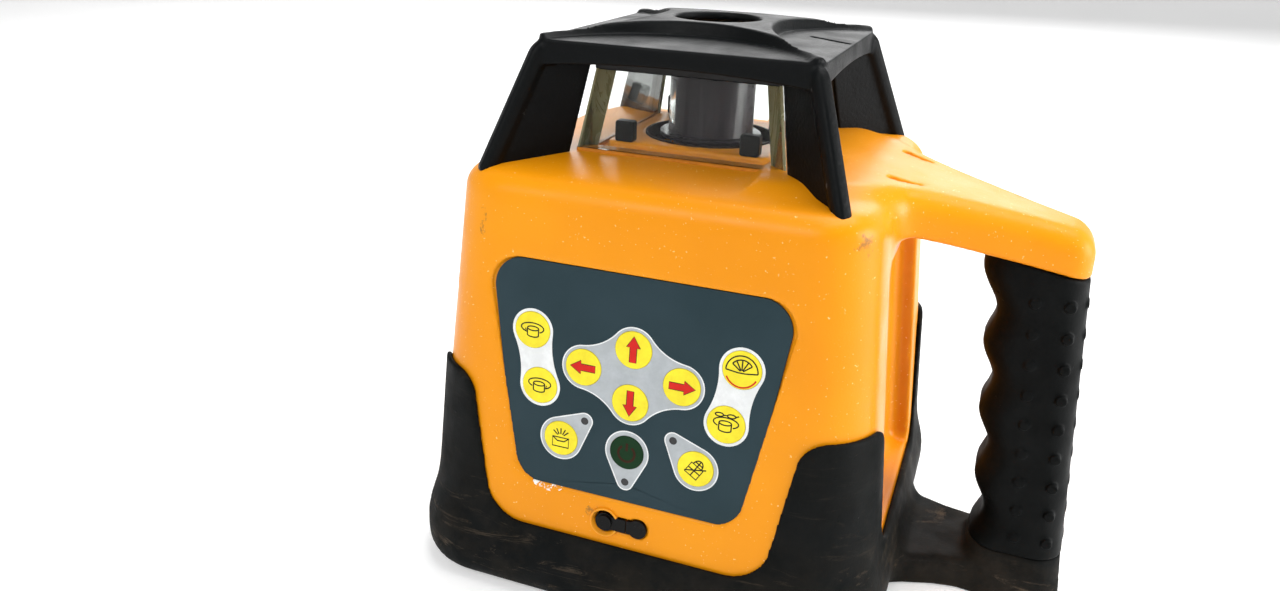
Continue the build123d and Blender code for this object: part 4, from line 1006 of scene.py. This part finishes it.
def soften(obj, width, segments=3):
    """Rounds a CAD node's edges for the eye, without touching its mesh."""
    weld = obj.modifiers.new("weld", "WELD")
    weld.merge_threshold = 0.002 * MM
    bevel = obj.modifiers.new("soft_edges", "BEVEL")
    bevel.width = width * MM
    bevel.segments = segments
    bevel.limit_method = "ANGLE"
    bevel.angle_limit = math.radians(32)
    bevel.harden_normals = True


def keep(node, material, edge=0.0):
    obj = NODES[node]
    dress(obj, material)
    if edge:
        soften(obj, edge)


def replace(obj, material, slot, *nodes):
    """Shows obj in place of CAD nodes of the housing."""
    dress(obj, material)
    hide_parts(*nodes)
    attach(obj, "housing")
    return obj


def build_shells():
    orange = housing_orange("housing_orange")
    replace(housing_mesh(), orange, "housing_plastic", "main_housing")
    socket_trim(orange, moulded("glossy_rubber", (0.003, 0.003, 0.003), 0.12))
    replace(boot_mesh(), boot_black(), "boot_rubber", "rubber_boot", "handle_foot")
    replace(grip_mesh(), grip_black(), "grip_rubber", "handle_grip")
    replace(cage_mesh(), cage_black(), "cage_plastic", "top_cage")


def shared_finishes():
    return {
        "black": moulded("fittings_black", (0.006, 0.006, 0.006), 0.35),
        "rubber": moulded("cover_rubber", (0.004, 0.004, 0.004), 0.22),
        "steel": metal("plated_steel", (0.62, 0.62, 0.63), 0.3),
        "alloy": metal("cast_alloy", (0.66, 0.66, 0.67), 0.42, (1, 1, 1), 300),
        "brass": metal("turned_brass", (0.72, 0.50, 0.20), 0.28, (1, 1, 10)),
        "optic": window_clear("optic_clear", 1.5),
    }


def dress_lantern(finish):
    """Glass, seals and rotor, as seen between the cage's blades."""
    keep("window_panes", window_clear("pane_coated", 1.25), 0.35)
    keep("window_seals", seal_green())
    keep("window_gaskets", gasket_silicone())
    press_into_glass = NODES["window_gaskets"].modifiers.new("pressed_in", "DISPLACE")
    press_into_glass.mid_level = 0.0
    press_into_glass.strength = 0.3 * MM
    keep("window_clips", finish["black"], 0.7)
    keep("dust_ring", moulded("ring_plum", (0.040, 0.020, 0.014), 0.55), 0.15)
    keep("rotor_head", rotor_drum(), 0.2)
    for node in ("pentaprism", "rotor_window"):
        keep(node, finish["optic"], 0.2)


def dress_keypad(finish):
    """Overlay, keys and lamps, and the socket cover under them."""
    yellow = printed_ink("key_yellow", (0.86, 0.72, 0.035), 0.42)
    green = printed_ink("key_green", (0.004, 0.030, 0.008), 0.42)
    keep("keypad_overlay", overlay_blue(), 0.25)
    keep("status_leds", moulded("lamp_smoke", (0.05, 0.05, 0.052), 0.15), 0.2)
    for key in KEYS:
        keep(key, green if key == "key_power" else yellow)
    keep("charge_socket", finish["black"], 0.2)
    for node in ("socket_cover", "socket_cover_anchor"):
        keep(node, finish["rubber"], 0.4)


def dress_base_and_battery(finish):
    """Base, inserts, screws, and the battery behind its door."""
    keep("base_plate", finish["alloy"], 0.5)
    for node in ("tripod_insert", "side_insert"):
        keep(node, finish["brass"], 0.5)
    for node in ("handle_spine", "housing_screws", "door_hinge_pin"):
        keep(node, finish["steel"], 0.15)
    keep("battery_box", moulded("box_plastic", (0.03, 0.03, 0.032), 0.5), 0.5)
    keep("battery_cells", moulded("cell_sleeve", (0.05, 0.14, 0.36), 0.3), 0.6)
    keep("battery_contacts", metal("contact_nickel", (0.75, 0.72, 0.66), 0.2), 0.1)
    keep("battery_door", housing_orange("door_orange", False), 0.6)
    keep("door_latch", finish["black"], 0.5)


def dress_inside(finish):
    """Levelling gear, laser, drive and boards."""
    board = moulded("board_green", (0.02, 0.14, 0.05), 0.4)
    for node in ("gimbal_frame", "gimbal_ring"):
        keep(node, finish["alloy"], 0.5)
    for node in ("frame_pins", "ring_pins", "frame_stepper", "frame_stepper_rod", "tube_stepper",
                 "tube_stepper_rod", "drive_motor"):
        keep(node, finish["steel"], 0.15)
    keep("rotor_bearings", finish["steel"], 0.3)
    keep("laser_tube", metal("dark_anodised", (0.10, 0.10, 0.105), 0.35), 0.4)
    keep("laser_module", finish["black"], 0.3)
    for node in ("collimator_lens", "level_vials"):
        keep(node, finish["optic"], 0.2)
    keep("rotor_pulley", moulded("acetal", (0.62, 0.61, 0.56), 0.4), 0.3)
    keep("motor_pulley", moulded("acetal_small", (0.62, 0.61, 0.56), 0.4), 0.2)
    keep("drive_belt", moulded("belt_rubber", (0.02, 0.02, 0.02), 0.6))
    keep("keypad_board", board, 0.2)
    keep("main_board", board, 0.3)
    keep("buzzer", finish["black"], 0.4)


def add_stage():
    """Plain pale floor that rises into a low wall all round."""
    reach, bend, height, steps, sides = 4.4, 1.4, 2.0, 10, 48
    profile = [(0.5, 0.0), (reach - bend, 0.0)]
    for a in np.linspace(0, math.pi / 2, steps + 1)[1:]:
        profile.append((reach - bend + bend * math.sin(a), bend * (1 - math.cos(a))))
    profile.append((reach, height))
    bm = bmesh.new()
    rings = []
    for r, z in profile:
        angles = np.linspace(0, 2 * math.pi, sides + 1)[:-1]
        rings.append([bm.verts.new((r * math.cos(a), r * math.sin(a), z)) for a in angles])
    bm.faces.new(rings[0])
    for inner, outer in zip(rings, rings[1:]):
        for i in range(sides):
            bm.faces.new((inner[i - 1], outer[i - 1], outer[i], inner[i]))
    mesh = bpy.data.meshes.new("studio_floor")
    bm.to_mesh(mesh)
    bm.free()
    mesh.polygons.foreach_set("use_smooth", [True] * len(mesh.polygons))
    floor = bpy.data.objects.new("studio_floor", mesh)
    bpy.context.scene.collection.objects.link(floor)
    paper = Shader("studio_paper", Roughness=0.85)
    paper.colour(paper.ramp(paper.noise(6, 2), ((0.3, 0.80), (0.7, 0.84))))
    paper.shader.inputs["Emission Color"].default_value = (1, 1, 1, 1)
    paper.shader.inputs["Emission Strength"].default_value = 0.30
    dress(floor, paper.material)


CAMERA_PLACE = (0.09993, -0.33474, 0.22710)
CAMERA_TURN, CAMERA_DOWN, CAMERA_ROLL = math.radians(20.39), math.radians(21.85), math.radians(2.07)
CAMERA_LENS = 28.16


def add_camera():
    c, s = math.cos(CAMERA_TURN), math.sin(CAMERA_TURN)
    ahead = Vector((-s * math.cos(CAMERA_DOWN), c * math.cos(CAMERA_DOWN), -math.sin(CAMERA_DOWN)))
    right = Vector((c, s, 0))
    up = right.cross(ahead)
    right, up = (right * math.cos(CAMERA_ROLL) + up * math.sin(CAMERA_ROLL),
                 up * math.cos(CAMERA_ROLL) - right * math.sin(CAMERA_ROLL))
    data = bpy.data.cameras.new("camera")
    data.lens = CAMERA_LENS
    data.sensor_width = 36.0
    data.clip_start = 0.01
    camera = bpy.data.objects.new("camera", data)
    matrix = Matrix.Identity(4)
    for i, column in enumerate((right, up, -ahead, Vector(CAMERA_PLACE))):
        for j in range(3):
            matrix[j][i] = column[j]
    camera.matrix_world = matrix
    bpy.context.scene.collection.objects.link(camera)
    bpy.context.scene.camera = camera


def area_light(name, place, aim, size, power, colour=(1, 1, 1)):
    data = bpy.data.lights.new(name, "AREA")
    data.shape = "RECTANGLE"
    data.size, data.size_y = size
    data.energy = power
    data.color = colour
    light = bpy.data.objects.new(name, data)
    light.location = place
    light.rotation_euler = (Vector(aim) - Vector(place)).to_track_quat("-Z", "Y").to_euler()
    bpy.context.scene.collection.objects.link(light)


def add_lights():
    world = bpy.data.worlds.new("studio_air")
    world.use_nodes = True
    world.node_tree.nodes["Background"].inputs["Color"].default_value = (1, 1, 1, 1)
    world.node_tree.nodes["Background"].inputs["Strength"].default_value = 0.28
    bpy.context.scene.world = world
    bpy.context.scene.view_settings.view_transform = "Standard"
    area_light("key_light", (-0.22, -0.85, 0.85), (0, 0, 0.08), (0.45, 0.45), 5.7)
    area_light("top_light", (0.25, 0.2, 1.1), (0.05, 0, 0.1), (0.8, 0.8), 11.5)
    area_light("back_light", (-0.32, 1.6, 0.96), (0, 0, 0.12), (1.9, 0.95), 20)
    area_light("right_light", (1.1, 0.15, 0.35), (0.08, 0, 0.08), (0.5, 0.5), 10)


build_shells()
FINISHES = shared_finishes()
dress_lantern(FINISHES)
dress_keypad(FINISHES)
dress_base_and_battery(FINISHES)
dress_inside(FINISHES)
print_fields(
    white=printed_ink("ink_white", (0.78, 0.80, 0.80)),
    grey=printed_ink("ink_grey", (0.42, 0.45, 0.47)),
)
print_icons(
    red=printed_ink("ink_red", (0.62, 0.02, 0.015)),
    black=printed_ink("ink_black", (0.015, 0.015, 0.015)),
    faded=printed_ink("ink_faded_red", (0.035, 0.012, 0.004)),
)
add_stage()
add_camera()
add_lights()
